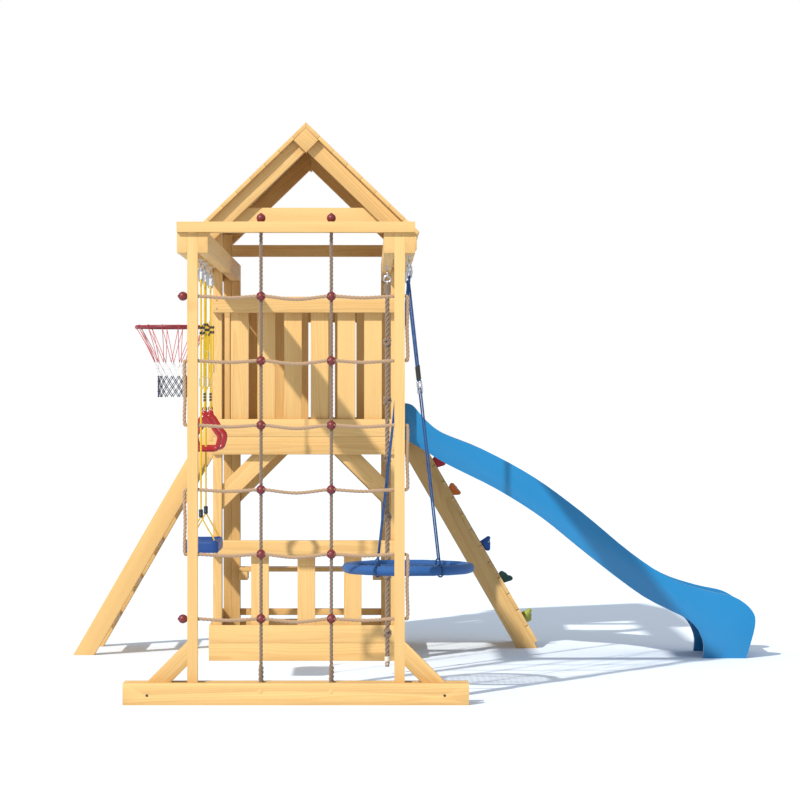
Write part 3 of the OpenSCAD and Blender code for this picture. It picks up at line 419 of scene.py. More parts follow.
def spaced(line, step):
    """The line again, with points about a step apart."""
    line = [Vector(v) for v in line]
    lengths = [(b - a).length for a, b in zip(line, line[1:])]
    count = max(2, round(sum(lengths) / step) + 1)
    total, out, i, gone = sum(lengths), [], 0, 0.0
    for k in range(count):
        target = total * k / (count - 1)
        while i < len(lengths) - 1 and gone + lengths[i] < target:
            gone += lengths[i]
            i += 1
        share = (target - gone) / lengths[i] if lengths[i] > 1e-12 else 0.0
        out.append(line[i].lerp(line[i + 1], min(1.0, max(0.0, share))))
    return out


def frames(line, closed=False):
    """A tangent and two turning-free side vectors at each point of a line."""
    n = len(line)
    tangents = []
    for i in range(n):
        a = line[i - 1] if i or closed else line[0]
        b = line[(i + 1) % n] if i < n - 1 or closed else line[-1]
        tangents.append((b - a).normalized())
    side = tangents[0].orthogonal().normalized()
    out = []
    for t in tangents:
        side = (side - t * side.dot(t)).normalized()
        out.append((t, side, t.cross(side)))
    return out


def skin(count, sides, closed=False, first=0):
    """Faces over rings of vertices, with a flat cap at each end unless they close on themselves."""
    faces = []
    for i in range(count if closed else count - 1):
        a, b = first + i * sides, first + (i + 1) % count * sides
        for k in range(sides):
            j = (k + 1) % sides
            faces.append((a + k, a + j, b + j, b + k))
    if not closed:
        faces.append([first + k for k in reversed(range(sides))])
        faces.append([first + (count - 1) * sides + k for k in range(sides)])
    return faces


STRANDS = 3
STRAND_SHARE = 0.232      # a strand's radius, as a share of the rope's diameter
STRAND_PRESS = 1.04       # strands press into each other by this much


class Tubes:
    """Gathers swept tubes into one mesh, with the fibre attribute and the groove attribute of painted
    shade that ropes use.
    """

    def __init__(self):
        self.verts, self.faces, self.fibre, self.groove_shade = [], [], [], []

    def add(self, line, radius, sides=8, closed=False, core=None, ends=1.0):
        """Sweeps a circle along a line. A strand winds round its core, which sets the painted shade
        in the grooves.
        ends is the share of the radius that is left at open ends."""
        n = len(line)
        self.faces += skin(n, sides, closed, len(self.verts))
        way = 0.0
        for i, (_, u, v) in enumerate(frames(line, closed)):
            if i:
                way += (line[i] - line[i - 1]).length
            edge = min(i, n - 1 - i)
            r = radius if closed or edge > 1 else radius * (ends if edge == 0 else (1 + ends) / 2)
            for k in range(sides):
                out = turned(u, v, TAU * k / sides)
                self.verts.append(line[i] + out * r)
                self.fibre.append((way, 2 * TAU * k / sides, radius))
                # painted shade: how far each point of a strand faces into the rope's core, where the
                # strands meet
                self.groove_shade.append(0.0 if core is None else
                                   max(0.0, -out.dot((line[i] - core[i]).normalized())))

    def twisted(self, line, diameter, lay=3.4, sides=8, closed=False):
        """A laid rope: strands wound round the line once in each lay times the diameter."""
        size = STRAND_SHARE * diameter
        out = diameter / 2 - size
        total = sum((b - a).length for a, b in zip(line, line[1:]))
        if closed:
            total += (line[0] - line[-1]).length
        turns = total / (lay * diameter)
        sides_of = frames(line, closed)
        twist = 0.0
        if closed:
            turns = max(1, round(turns))
            _, u, v = sides_of[0]
            end_u = sides_of[-1][1]
            twist = atan2(end_u.dot(v), end_u.dot(u))
        for strand in range(STRANDS):
            path, way = [], 0.0
            for i, (_, u, v) in enumerate(sides_of):
                if i:
                    way += (line[i] - line[i - 1]).length
                share = way / total
                a = TAU * (strand / STRANDS + turns * share) - twist * share
                path.append(line[i] + turned(u, v, a) * out)
            self.add(path, size * STRAND_PRESS, sides, closed, line)

    def solid(self):
        return self.verts, self.faces

    def piece(self, name, material, body="root", slot=None, nodes=()):
        return new_piece(name, [self.solid()], material, body, nodes,
                         attributes={"fibre": self.fibre, "groove_shade": self.groove_shade})


def tube(line, radius, sides):
    """Vertices and faces of one closed tube."""
    tubes = Tubes()
    tubes.add(line, radius, sides, closed=True)
    return tubes.solid()


def circle_line(centre, radius, axis, count=36):
    """Points on a circle about an axis."""
    axis = Vector(axis).normalized()
    u = (UP - axis * axis.z).normalized() if abs(axis.z) < 0.9 else Vector((1, 0, 0))
    v = axis.cross(u)
    return [Vector(centre) + turned(u, v, TAU * k / count) * radius for k in range(count)]


def torus(centre, axis, major, minor, around=32, sides=10):
    """Vertices and faces of a round ring about an axis."""
    return tube(circle_line(centre, major, axis, around), minor, sides)


def loft(rings):
    """Vertices and faces through rings of points, each with as many points."""
    return [p for ring in rings for p in ring], skin(len(rings), len(rings[0]))


def lathe(profile, centre, axis, sides=32):
    """Vertices and faces of (radius, height) points turned about an axis."""
    axis = Vector(axis).normalized()
    u = axis.orthogonal().normalized()
    v = axis.cross(u)
    return loft([[Vector(centre) + axis * height + turned(u, v, TAU * k / sides) * max(radius, 1e-5)
                  for k in range(sides)] for radius, height in profile])


def joined(parts):
    """One list of vertices and faces from several."""
    verts, faces = [], []
    for v, f in parts:
        first = len(verts)
        verts += v
        faces += [[first + i for i in face] for face in f]
    return verts, faces


def cad_bmesh(node):
    """A clean copy of a CAD node's mesh: joined at its seams, with flat faces whole."""
    bm = bmesh.new()
    bm.from_mesh(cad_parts[node].data)
    bmesh.ops.remove_doubles(bm, verts=bm.verts, dist=1e-5)
    bmesh.ops.dissolve_limit(bm, angle_limit=radians(0.6), verts=bm.verts, edges=bm.edges)
    return bm


def islands(bm):
    """The groups of connected vertices in a mesh, as lists, in the order of their places."""
    left, groups = set(bm.verts), []
    for start in bm.verts:
        if start not in left:
            continue
        left.discard(start)
        group, todo = [], [start]
        while todo:
            v = todo.pop()
            group.append(v)
            for e in v.link_edges:
                o = e.other_vert(v)
                if o in left:
                    left.discard(o)
                    todo.append(o)
        groups.append(group)
    return sorted(groups, key=lambda g: tuple(round(sum(v.co[k] for v in g) / len(g), 4)
                                              for k in (2, 1, 0)))


def board_axes(group):
    """The middle of a board, its three directions (length, width, thickness) and its half sizes."""
    edges = {e for v in group for e in v.link_edges}
    longest = max(edges, key=lambda e: e.calc_length())
    along = (longest.verts[1].co - longest.verts[0].co).normalized()
    best, wide = -1.0, along.orthogonal()
    for e in edges:
        d = e.verts[1].co - e.verts[0].co
        square = d - along * d.dot(along)
        if square.length > best and square.length > 0.7 * d.length:
            best, wide = square.length, square
    across = wide.normalized()
    deep = along.cross(across)
    axes = (along, across, deep)
    spans = [(min(v.co.dot(a) for v in group), max(v.co.dot(a) for v in group)) for a in axes]
    middle = sum((a * (lo + hi) / 2 for a, (lo, hi) in zip(axes, spans)), Vector())
    return middle, axes, [(hi - lo) / 2 for lo, hi in spans]


def low(node):
    return Vector(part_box(node)[0])


def high(node):
    return Vector(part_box(node)[1])


def centre_of(node):
    return (low(node) + high(node)) / 2


def half_of(node):
    return (high(node) - low(node)) / 2


BEVEL_FROM = radians(32)      # edges flatter than this stay as they are


def eased(bm, node, name, material, width, segments=2, attributes=None):
    """A piece in place of a CAD node, of its mesh with rounded edges. The mesh is used up."""
    mesh = bpy.data.meshes.new(name)
    bm.to_mesh(mesh)
    bm.free()
    set_attributes(mesh, attributes)
    piece = settled(name, mesh, material, "root", [node])
    bevel = piece.modifiers.new("eased", "BEVEL")
    bevel.width = width
    bevel.segments = segments
    bevel.limit_method = "ANGLE"
    bevel.angle_limit = BEVEL_FROM
    bevel.harden_normals = True


# ---- timber ----

EASED_EDGE = 0.0022
boards_of = {}


def timber(node):
    """Boards in place of a CAD node: eased edges, and each board with its own grain and tint."""
    draw = random.Random("timber " + node)
    bm = cad_bmesh(node)
    grain, tint = {}, {}
    boards_of[node] = []
    for group in islands(bm):
        middle, axes, half = board_axes(group)
        boards_of[node].append((middle, axes, half))
        log = Vector((draw.uniform(0, 40), draw.uniform(-0.05, 0.05), draw.uniform(0.02, 0.09)))
        lean = draw.uniform(-0.035, 0.035)
        shade = draw.uniform(0.15, 0.85)
        for v in group:
            local = Vector([(v.co - middle).dot(a) for a in axes])
            local.y += lean * local.x
            grain[v] = local + log
            tint[v] = shade
    eased(bm, node, node + "_timber", "pine", EASED_EDGE,
          attributes={"grain": [grain[v] for v in bm.verts], "tint": [tint[v] for v in bm.verts]})


TIMBER = ["net_posts", "net_sills", "net_sill_braces", "net_top_cap", "left_swing_beam",
          "right_swing_beam", "beam_spacers", "tower_posts", "beam_props", "deck_frame",
          "deck_boards", "deck_aprons", "deck_braces", "upper_front_rail", "upper_front_pickets",
          "upper_back_guard", "side_guard_frames", "side_guard_pickets", "low_front_rail",
          "low_front_pickets", "sandbox_boards", "bench", "rafters", "collar_tie", "back_tie",
          "ridge_blocks", "roof_boards_left", "roof_boards_right", "ladder_rails",
          "ladder_treads", "climbing_wall_rails", "climbing_wall_boards"]
for node in TIMBER:
    timber(node)


# ---- wood screws ----

SCREW_R = 0.0037
SCREW_PROFILE = [(SCREW_R, -0.0002), (SCREW_R * 0.96, 0.0005), (SCREW_R * 0.5, 0.0007),
                 (SCREW_R * 0.42, -0.0002)]


def screw_heads(node, outward, ends=0.022, across=0.27, extra=()):
    """Screw heads in pairs near the ends of a node's boards, on the face that looks outward.
    extra gives more places along each board, as shares of its half length."""
    parts = []
    for middle, (along, wide, deep), half in boards_of[node]:
        out = outward(middle) if callable(outward) else outward
        axes = [(wide, half[1]), (deep, half[2])]
        axes.sort(key=lambda pair: -abs(pair[0].dot(out)))
        (normal, depth), (side, width) = axes
        normal = normal if normal.dot(out) > 0 else -normal
        for place in [half[0] - ends, ends - half[0]] + [share * half[0] for share in extra]:
            for lean in (-1, 1):
                at = middle + along * place + side * (lean * 2 * across * width) + normal * depth
                parts.append(lathe(SCREW_PROFILE, at, normal, 10))
    return parts


TOWER_MIDDLE = centre_of("tower_posts")


def away_from_tower(middle):
    return Vector((0, middle.y - TOWER_MIDDLE.y, 0))


def sideways(middle):
    return Vector((middle.x, 0, 0))


def apron_side(middle):
    return away_from_tower(middle) if abs(middle.x) < 0.1 else sideways(middle)


screws = []
for node, outward, *where in (
        ("upper_front_pickets", BACK, 0.05), ("upper_front_rail", FRONT), ("low_front_rail", FRONT),
        ("deck_aprons", apron_side), ("side_guard_pickets", sideways, 0.06),
        ("deck_boards", UP, 0.025, 0.27, (0.0,)), ("roof_boards_left", UP, 0.062),
        ("roof_boards_right", UP, 0.062), ("climbing_wall_boards", Vector((1, 0, 0.5))),
        ("upper_back_guard", BACK), ("bench", UP), ("collar_tie", FRONT, 0.05),
        ("rafters", away_from_tower, 0.075, 0.22)):
    screws += screw_heads(node, outward, *where)
new_piece("wood_screws", screws, "dark_steel", smooth=False)


# ---- sill bolts ----

POST_OUT = high("net_posts").x


def sill_bolts():
    """Button-headed bolts through the sills, with wooden plugs over the two that hold the ropes."""
    button = [(0.0056, -0.001), (0.0056, 0.0010), (0.0046, 0.0022), (0.0024, 0.0025),
              (0.0020, 0.0008)]
    nut = [(0.011, 0.0), (0.011, 0.0024), (0.0105, 0.003), (0.008, 0.003), (0.008, 0.0082),
           (0.0072, 0.009), (0.005, 0.009)]
    plug = [(0.0095, -0.001), (0.0095, 0.0002), (0.0085, 0.0008)]
    front, back = low("net_sills").y, high("net_sills").y
    steel, wood = [], []
    bm = cad_bmesh("frame_bolts")
    for group in islands(bm):
        x, z = (sum(v.co[k] for v in group) / len(group) for k in (0, 2))
        steel.append(lathe([(0.004, 0.0), (0.004, back - front)], (x, front, z), BACK, 16))
        steel.append(lathe(nut, (x, back, z), BACK, 24))
        if abs(x) > POST_OUT:
            steel.append(lathe(button, (x, front, z), FRONT, 24))
        else:
            wood.append(lathe(plug, (x, front, z), FRONT, 24))
    bm.free()
    new_piece("sill_bolts", steel, "dark_steel", nodes=["frame_bolts"])
    places = joined(wood)[0]
    new_piece("sill_plugs", wood, "pine", attributes={"grain": places, "tint": [0.5] * len(places)})


sill_bolts()


# ---- rope net ----

TOUCH = 0.0003                # how far pieces that touch are kept apart
POST_T = 0.045
NET_ROPE_D = 0.016
BALL_R = 0.020
NET_ROWS = 6
ROPE_PASS = 0.001
net_low, net_high = low("net_connectors"), high("net_connectors")
ROW_STEP = (net_high.z - net_low.z - 2 * BALL_R) / (NET_ROWS - 1)
ROW_Z = [net_low.z + BALL_R + i * ROW_STEP for i in range(NET_ROWS)]
COLUMN_X = net_high.x - BALL_R
NET_Y = (net_low.y + net_high.y) / 2
ROW_Y = NET_Y - NET_ROPE_D / 2 - ROPE_PASS
COLUMN_Y = NET_Y + NET_ROPE_D / 2 + ROPE_PASS
POST_IN = POST_OUT - POST_T
ROPE_STEP = 0.0045


def net_route():
    """The rope's way: row by row from the top, turning back outside a post after each row."""
    mid_x = (COLUMN_X + POST_IN) / 2
    side, middle, near = 0.007, 0.014, 0.022
    half = [(0.0, middle), (COLUMN_X - near, 0), (COLUMN_X + near, 0), (mid_x, side),
            (POST_IN - 0.005, 0)]
    stations = [(-x, drop) for x, drop in half[:0:-1]] + half
    out = POST_OUT + 0.010
    route = [(-POST_OUT - 0.006, ROW_Y, ROW_Z[-1])]
    for i in reversed(range(NET_ROWS)):
        s = 1 if i % 2 else -1
        route += [(s * x, ROW_Y, ROW_Z[i] - drop) for x, drop in stations]
        if i:
            z, w = ROW_Z[i], ROW_Z[i - 1]
            route += [(s * (POST_OUT - 0.001), ROW_Y, z), (s * (out + 0.003), ROW_Y, z - 0.016),
                      (s * out, ROW_Y, (z + w) / 2), (s * (out + 0.003), ROW_Y, w + 0.016),
                      (s * (POST_OUT - 0.001), ROW_Y, w)]
    return route + [(-POST_OUT - 0.006, ROW_Y, ROW_Z[0])]


def net_ropes():
    rows = Tubes()
    rows.twisted(spaced(spline(net_route(), steps=6), ROPE_STEP), NET_ROPE_D)
    rows.piece("net_row_rope_laid", "rope_tan", nodes=["net_zigzag_rope"])
    uprights = Tubes()
    eye_z, eye_r = 0.060, 0.0128
    top = high("net_upright_ropes").z
    for x in (-COLUMN_X, COLUMN_X):
        line = spaced([(x, COLUMN_Y, eye_z + eye_r), (x, COLUMN_Y, top)], ROPE_STEP)
        uprights.twisted(line, NET_ROPE_D)
        uprights.twisted(circle_line((x, COLUMN_Y, eye_z), eye_r, BACK, 40), NET_ROPE_D,
                         closed=True)
        for strand in range(STRANDS):
            tuck = [Vector((x, COLUMN_Y, eye_z + 0.020))
                    + polar(0.0085, TAU * (strand / STRANDS - k / 16), 0.085 * k / 24)
                    for k in range(25)]
            uprights.add(tuck, 0.0032, 6, ends=0.3)
    uprights.piece("net_upright_ropes_laid", "rope_brown", nodes=["net_upright_ropes"])


BALL_STEPS = 14


def ball_profile(seam=0.0004):
    """Half a circle from pole to pole, with a moulding seam round its middle."""
    points = [(BALL_R * sin(pi * k / BALL_STEPS), -BALL_R * cos(pi * k / BALL_STEPS))
              for k in range(BALL_STEPS + 1)]
    half = BALL_STEPS // 2
    ridge = [(BALL_R, -0.0009), (BALL_R + seam, -0.0004), (BALL_R + seam, 0.0004), (BALL_R, 0.0009)]
    return points[:half] + ridge + points[half + 1:]


def net_connectors():
    parts = []
    collar_out, collar_r, collar_wire = 0.0165, NET_ROPE_D / 2 + 0.0012, 0.0018
    for x in (-COLUMN_X, COLUMN_X):
        for z in ROW_Z:
            parts.append(lathe(ball_profile(), (x, NET_Y, z), BACK))
            for s in (-1, 1):
                parts.append(torus((x + s * collar_out, ROW_Y, z), (1, 0, 0), collar_r, collar_wire))
                parts.append(torus((x, COLUMN_Y, z + s * collar_out), UP, collar_r, collar_wire))
    new_piece("net_ball_connectors", parts, "dark_red_plastic", nodes=["net_connectors"])


def net_stop_balls():
    """Drop-shaped balls on the rope ends, flat where they bear on the wood."""
    drop = [(0.0, -0.018), (0.0125, -0.018), (0.0165, -0.0115), (0.0192, -0.0055), (0.0200, 0.0),
            (0.0192, 0.0055), (0.0168, 0.0108), (0.0130, 0.0150), (0.0088, 0.0178), (0.0060, 0.0192),
            (0.0052, 0.0212), (0.0030, 0.0224), (0.0, 0.0226)]
    top_z, side_x = high("net_stop_balls").z - BALL_R, low("net_stop_balls").x + BALL_R
    parts = [lathe(drop, (x, COLUMN_Y, top_z), UP) for x in (-COLUMN_X, COLUMN_X)]
    parts += [lathe(drop, (side_x, ROW_Y, z), (-1, 0, 0)) for z in (ROW_Z[0], ROW_Z[-1])]
    new_piece("net_rope_end_balls", parts, "dark_red_plastic", nodes=["net_stop_balls"])


net_ropes()
net_connectors()
net_stop_balls()


# ---- slide ----

SLIDE_EDGE = 0.009
eased(cad_bmesh("slide"), "slide", "slide_moulding", "sky_blue_plastic", SLIDE_EDGE, 4)


# ---- fittings under the beams ----

WIRE_R = 0.004
LINK_R = 0.010
LINK_LEN = 0.038
LINK_TOP = high("near_ring_rope").z - LINK_R - WIRE_R
SWING_ROPE_D = 0.010
LEG_D = 0.008
SWING_LAY = 3.0
SWING_STEP = 0.003
LOOP_R = SWING_ROPE_D / 2 + 2 * WIRE_R
LOOP_Z = LINK_TOP - LINK_LEN - LINK_R + WIRE_R + TOUCH + SWING_ROPE_D / 2 - LOOP_R


def link(x, y):
    """An oval quick link in the XZ plane, with a knurled sleeve on one leg."""
    top, foot = Vector((x, y, LINK_TOP)), Vector((x, y, LINK_TOP - LINK_LEN))
    bow = [Vector((LINK_R * cos(pi * k / 12), 0, LINK_R * sin(pi * k / 12)))
           for k in range(13)]
    bows = tube([top + p for p in bow] + [foot - p for p in bow], WIRE_R, 12)
    sleeve_at = (x + LINK_R, y, LINK_TOP - LINK_LEN / 2)
    profile = [(WIRE_R, -0.0078), (0.0056, -0.0072)]
    profile += [(0.0060 + 0.0003 * (k % 2), -0.0062 + 0.0124 * k / 12) for k in range(13)]
    profile += [(0.0056, 0.0072), (WIRE_R, 0.0078)]
    return joined([bows, lathe(profile, sleeve_at, UP, 18)])


def links(name, places, body, nodes=()):
    new_piece(name, [link(x, y) for x, y in places], "zinc_steel", body, nodes=nodes)


def rope_loop(tubes, x, y, z):
    tubes.twisted(circle_line((x, y, z), LOOP_R, (1, 0, 0), 44), SWING_ROPE_D, SWING_LAY, closed=True)


def rope_along(tubes, line, diameter=SWING_ROPE_D):
    tubes.twisted(spaced(line, SWING_STEP), diameter, SWING_LAY, sides=6)


def whipping(tubes, a, b, rope_d, cord_r=0.0013):
    """Thin cord wound tightly round a rope from a to b."""
    a, b = Vector(a), Vector(b)
    along = (b - a).normalized()
    u = along.orthogonal().normalized()
    v = along.cross(u)
    turns = max(2, round((b - a).length / (2.1 * cord_r)))
    r = rope_d / 2 + cord_r * 0.7
    tubes.add([a.lerp(b, k / (turns * 10)) + turned(u, v, TAU * k / 10) * r
               for k in range(turns * 10 + 1)], cord_r, 6)


def barrel(centre, axis, radius, length):
    """A short moulded barrel with rounded ends and two grooves."""
    shape = [(0.7, 1.0), (0.92, 0.93), (1.0, 0.8), (1.0, 0.35), (0.9, 0.28), (0.9, 0.18), (1.0, 0.1)]
    shape = [(r, -h) for r, h in shape] + shape[::-1]
    return lathe([(r * radius, h * length / 2) for r, h in shape], centre, axis, 24)


def oval(centre, half_w, half_h, wire, side):
    """A wire oval, upright, with its width along side."""
    flat = half_h - half_w
    line = [Vector(centre) + Vector(side) * half_w * cos(pi * (lower + k / 13))
            + UP * (half_w * sin(pi * (lower + k / 13)) + (-flat if lower else flat))
            for lower in (0, 1) for k in range(14)]
    return tube(line, wire, 10)


class Hanging:
    """One hanging object's rope, black bindings and steel, gathered into a piece each."""

    def __init__(self, name, body, material):
        self.name, self.body, self.material = name, body, material
        self.rope, self.binding, self.black, self.steel = Tubes(), Tubes(), [], []

    def adjuster(self, x, y, z, tail_top, out=0.013):
        """The rope's doubled length: a tail up beside it, bound above and held in a steel ring."""
        tail = [(x + 0.3 * out, y, z - 0.030), (x + out, y, z - 0.008), (x + out, y, z + 0.05),
                (x + out, y, tail_top - 0.03), (x + 0.95 * out, y, tail_top)]
        rope_along(self.rope, spline(tail, steps=6), LEG_D)
        for foot in (tail_top - 0.040, tail_top - 0.016):
            whipping(self.binding, (x, y, foot), (x, y, foot + 0.012), SWING_ROPE_D)
            whipping(self.binding, (x + out, y, foot), (x + out, y, foot + 0.012), LEG_D)
        self.steel.append(oval((x + out / 2, y, z), 0.0118, 0.026, 0.0021, (1, 0, 0)))

    def pieces(self, node):
        self.rope.piece(self.name + "_laid", self.material, self.body, nodes=[node])
        self.binding.piece(self.name + "_bindings", "black_cord", self.body, "dark_steel")
        if self.black:
            new_piece(self.name + "_sleeves", self.black, "black_plastic", self.body)
        new_piece(self.name + "_rings", self.steel, "zinc_steel", self.body)


# ---- swing seat ----

SEAT_X, SEAT_Y = centre_of("swing_seat").xy
SEAT_HALF_X, SEAT_HALF_Y = half_of("swing_seat").xy
SEAT_TOP = high("swing_seat").z
SEAT_FOOT = low("swing_seat").z
SEAT_ROPE_OUT = 0.2065
SEAT_ROPES_Y = [SEAT_Y - SEAT_ROPE_OUT, SEAT_Y + SEAT_ROPE_OUT]
SEAT_RIB_PITCH = 0.036
SEAT_LEG_X = SEAT_HALF_X - 0.020
SPLIT_Z = SEAT_TOP + 0.113


def rounded_outline(inset_x, inset_y, corner, z, steps=7):
    """One level of the seat: a rectangle with rounded corners, with its long sides drawn in."""
    half_x, half_y = SEAT_HALF_X - inset_x, SEAT_HALF_Y - inset_y
    points = []
    for quarter, (sx, sy) in enumerate(((1, 1), (-1, 1), (-1, -1), (1, -1))):
        for k in range(steps + 1):
            a = pi / 2 * (quarter + k / steps)
            points.append((sx * (half_x - corner) + corner * cos(a),
                           sy * (half_y - corner) + corner * sin(a)))
    ring = []
    for (ax, ay), (bx, by) in zip(points, points[1:] + points[:1]):
        cuts = max(1, round(hypot(bx - ax, by - ay) / 0.02))
        ring += [(ax + (bx - ax) * k / cuts, ay + (by - ay) * k / cuts) for k in range(cuts)]
    return [Vector((SEAT_X + x, SEAT_Y + y, z)) for x, y in ring]


def ring_of(count, ring):
    """The ring with as many points as count, evenly spaced."""
    closed = ring + ring[:1]
    total = sum((b - a).length for a, b in zip(closed, closed[1:]))
    return spaced(closed, total / count)[:count]


def swing_seat():
    levels = [(0.012, -0.055), (0.0030, -0.054), (0.0008, -0.050), (0.0, -0.040), (0.0, -0.014),
              (0.0012, -0.006), (0.0040, -0.0018), (0.0085, 0.0), (0.0115, -0.0012),
              (0.0140, -0.0045), (0.0160, -0.0100), (0.0190, -0.0132), (0.0240, -0.0142)]
    count = len(rounded_outline(0, 0, 0.020, 0))
    rings = []
    for inset, down in levels:
        end = inset if inset < 0.010 else 0.010 + (inset - 0.010) * 2.4
        corner = max(0.006, 0.022 - 0.4 * inset)
        rings.append(ring_of(count, rounded_outline(inset, end, corner, SEAT_TOP + down)))
    hollow = [ring_of(count, rounded_outline(inset, inset, 0.014, SEAT_TOP + down))
              for inset, down in ((0.030, -0.0205), (0.0125, -0.0215), (0.0095, -0.026),
                                  (0.0085, -0.050), (0.012, -0.055))]
    shell = loft(hollow + rings[1:])
    ribs = Tubes()
    for k in range(-4, 5):
        y, z = SEAT_Y + k * SEAT_RIB_PITCH, SEAT_TOP - 0.0145
        ribs.add(spaced([(SEAT_X - 0.046, y, z), (SEAT_X + 0.046, y, z)], 0.01), 0.0024, ends=0.4)
    for k in (-1, 0, 1):
        x, z = SEAT_X + k * SEAT_RIB_PITCH, SEAT_TOP - 0.024
        ribs.add(spaced([(x, SEAT_Y - 0.20, z), (x, SEAT_Y + 0.20, z)], 0.05), 0.0038)
    eyelets = [torus((SEAT_X + s * SEAT_LEG_X, y, SEAT_TOP - 0.0002), UP, 0.0062, 0.0019)
               for s in (-1, 1) for y in SEAT_ROPES_Y]
    piece = new_piece("swing_seat_moulding", [shell, ribs.solid()] + eyelets, "seat_blue",
                      "seat_swing", nodes=["swing_seat"])
    piece.data.polygons.foreach_set("use_smooth", [len(p.vertices) == 4 for p in piece.data.polygons])


def seat_ropes():
    hang = Hanging("seat_ropes", "seat_swing", "rope_yellow")
    for y in SEAT_ROPES_Y:
        rope_loop(hang.rope, SEAT_X, y, LOOP_Z)
        rope_along(hang.rope, [(SEAT_X, y, LOOP_Z - LOOP_R), (SEAT_X, y, SPLIT_Z)])
        hang.adjuster(SEAT_X, y, 1.40, 1.66)
        hang.black.append(barrel((SEAT_X, y, SPLIT_Z + 0.013), UP, 0.010, 0.036))
        for s in (-1, 1):
            foot = SEAT_X + s * SEAT_LEG_X
            leg = spline([(SEAT_X, y, SPLIT_Z), (SEAT_X + s * 0.028, y, SEAT_TOP + 0.062),
                          (foot - s * 0.002, y, SEAT_TOP + 0.010), (foot, y, SEAT_TOP - 0.010),
                          (foot, y, SEAT_FOOT + 0.010)])
            rope_along(hang.rope, leg, LEG_D)
            hang.rope.twisted(circle_line((foot, y, SEAT_FOOT + 0.014), 0.005, (0.3, 0.2, 1), 24),
                              LEG_D, closed=True)
    hang.pieces("seat_ropes")
    links("seat_quick_links", [(SEAT_X, y) for y in SEAT_ROPES_Y], "seat_swing", ["seat_carabiners"])


swing_seat()
seat_ropes()


# ---- hand rings ----

RING_HOLE_Z = 1.277
RING_X = SEAT_X


def hand_ring(label, adjuster_z):
    rope_node, ring_node, body = label + "_ring_rope", label + "_hand_ring", label + "_ring"
    y = centre_of(ring_node).y
    half = [(0.0, -0.187), (0.0405, -0.187), (0.0570, -0.1800), (0.0640, -0.1635), (0.0682, -0.1480),
            (0.0695, -0.1320), (0.0660, -0.1190), (0.0550, -0.1060), (0.0370, -0.0780),
            (0.0200, -0.0510), (0.0090, -0.0385), (0.0, -0.0350)]
    outline = half + [(-x, z) for x, z in half[-2:0:-1]]
    line = spline([(RING_X + x, y, RING_HOLE_Z + z) for x, z in outline], closed=True, steps=6)
    neck = []
    for z, wide, deep in ((-0.084, 0.0330, 0.0030), (-0.081, 0.0360, 0.0062),
                          (-0.066, 0.0270, 0.0090), (-0.052, 0.0190, 0.0106),
                          (-0.040, 0.0170, 0.0110), (-0.028, 0.0160, 0.0092),
                          (-0.016, 0.0138, 0.0066), (-0.0105, 0.0122, 0.0058)):
        neck.append([Vector((RING_X + wide * cos(TAU * k / 20), y + deep * sin(TAU * k / 20),
                             RING_HOLE_Z + z)) for k in range(20)])
    lug = [torus((RING_X, y + off, RING_HOLE_Z), BACK, 0.0100, 0.0025)
           for off in (-0.0032, 0.0, 0.0032)]
    new_piece(label + "_hand_ring_moulding", [tube(line, 0.0124, 18), loft(neck)] + lug, "ring_red",
              body, nodes=[ring_node])
    hang = Hanging(label + "_ring_rope", body, "rope_yellow")
    foot_z = RING_HOLE_Z - 0.0005 + LOOP_R
    rope_loop(hang.rope, RING_X, y, LOOP_Z)
    rope_loop(hang.rope, RING_X, y, foot_z)
    rope_along(hang.rope, [(RING_X, y, LOOP_Z - LOOP_R), (RING_X, y, foot_z + LOOP_R)])
    hang.adjuster(RING_X, y, adjuster_z, 1.68)
    for foot in (0.012, 0.026, 0.040):
        whipping(hang.binding, (RING_X, y, foot_z + LOOP_R + foot),
                 (RING_X, y, foot_z + LOOP_R + foot + 0.009), SWING_ROPE_D)
    hang.pieces(rope_node)
    links(label + "_ring_quick_link", [(RING_X, y)], body)


hand_ring("near", 1.52)
hand_ring("far", 1.47)


# ---- nest swing ----

NEST = centre_of("nest_rim")
RIM_R = half_of("nest_rim").z
NEST_R = half_of("nest_rim").x - RIM_R
NEST_ROPE_A = radians(60)
NEST_HOOK_DY = 0.28
WRAP_R = RIM_R + TOUCH + LEG_D / 2
ADJUSTER_Z = 1.39
STITCHES = 192


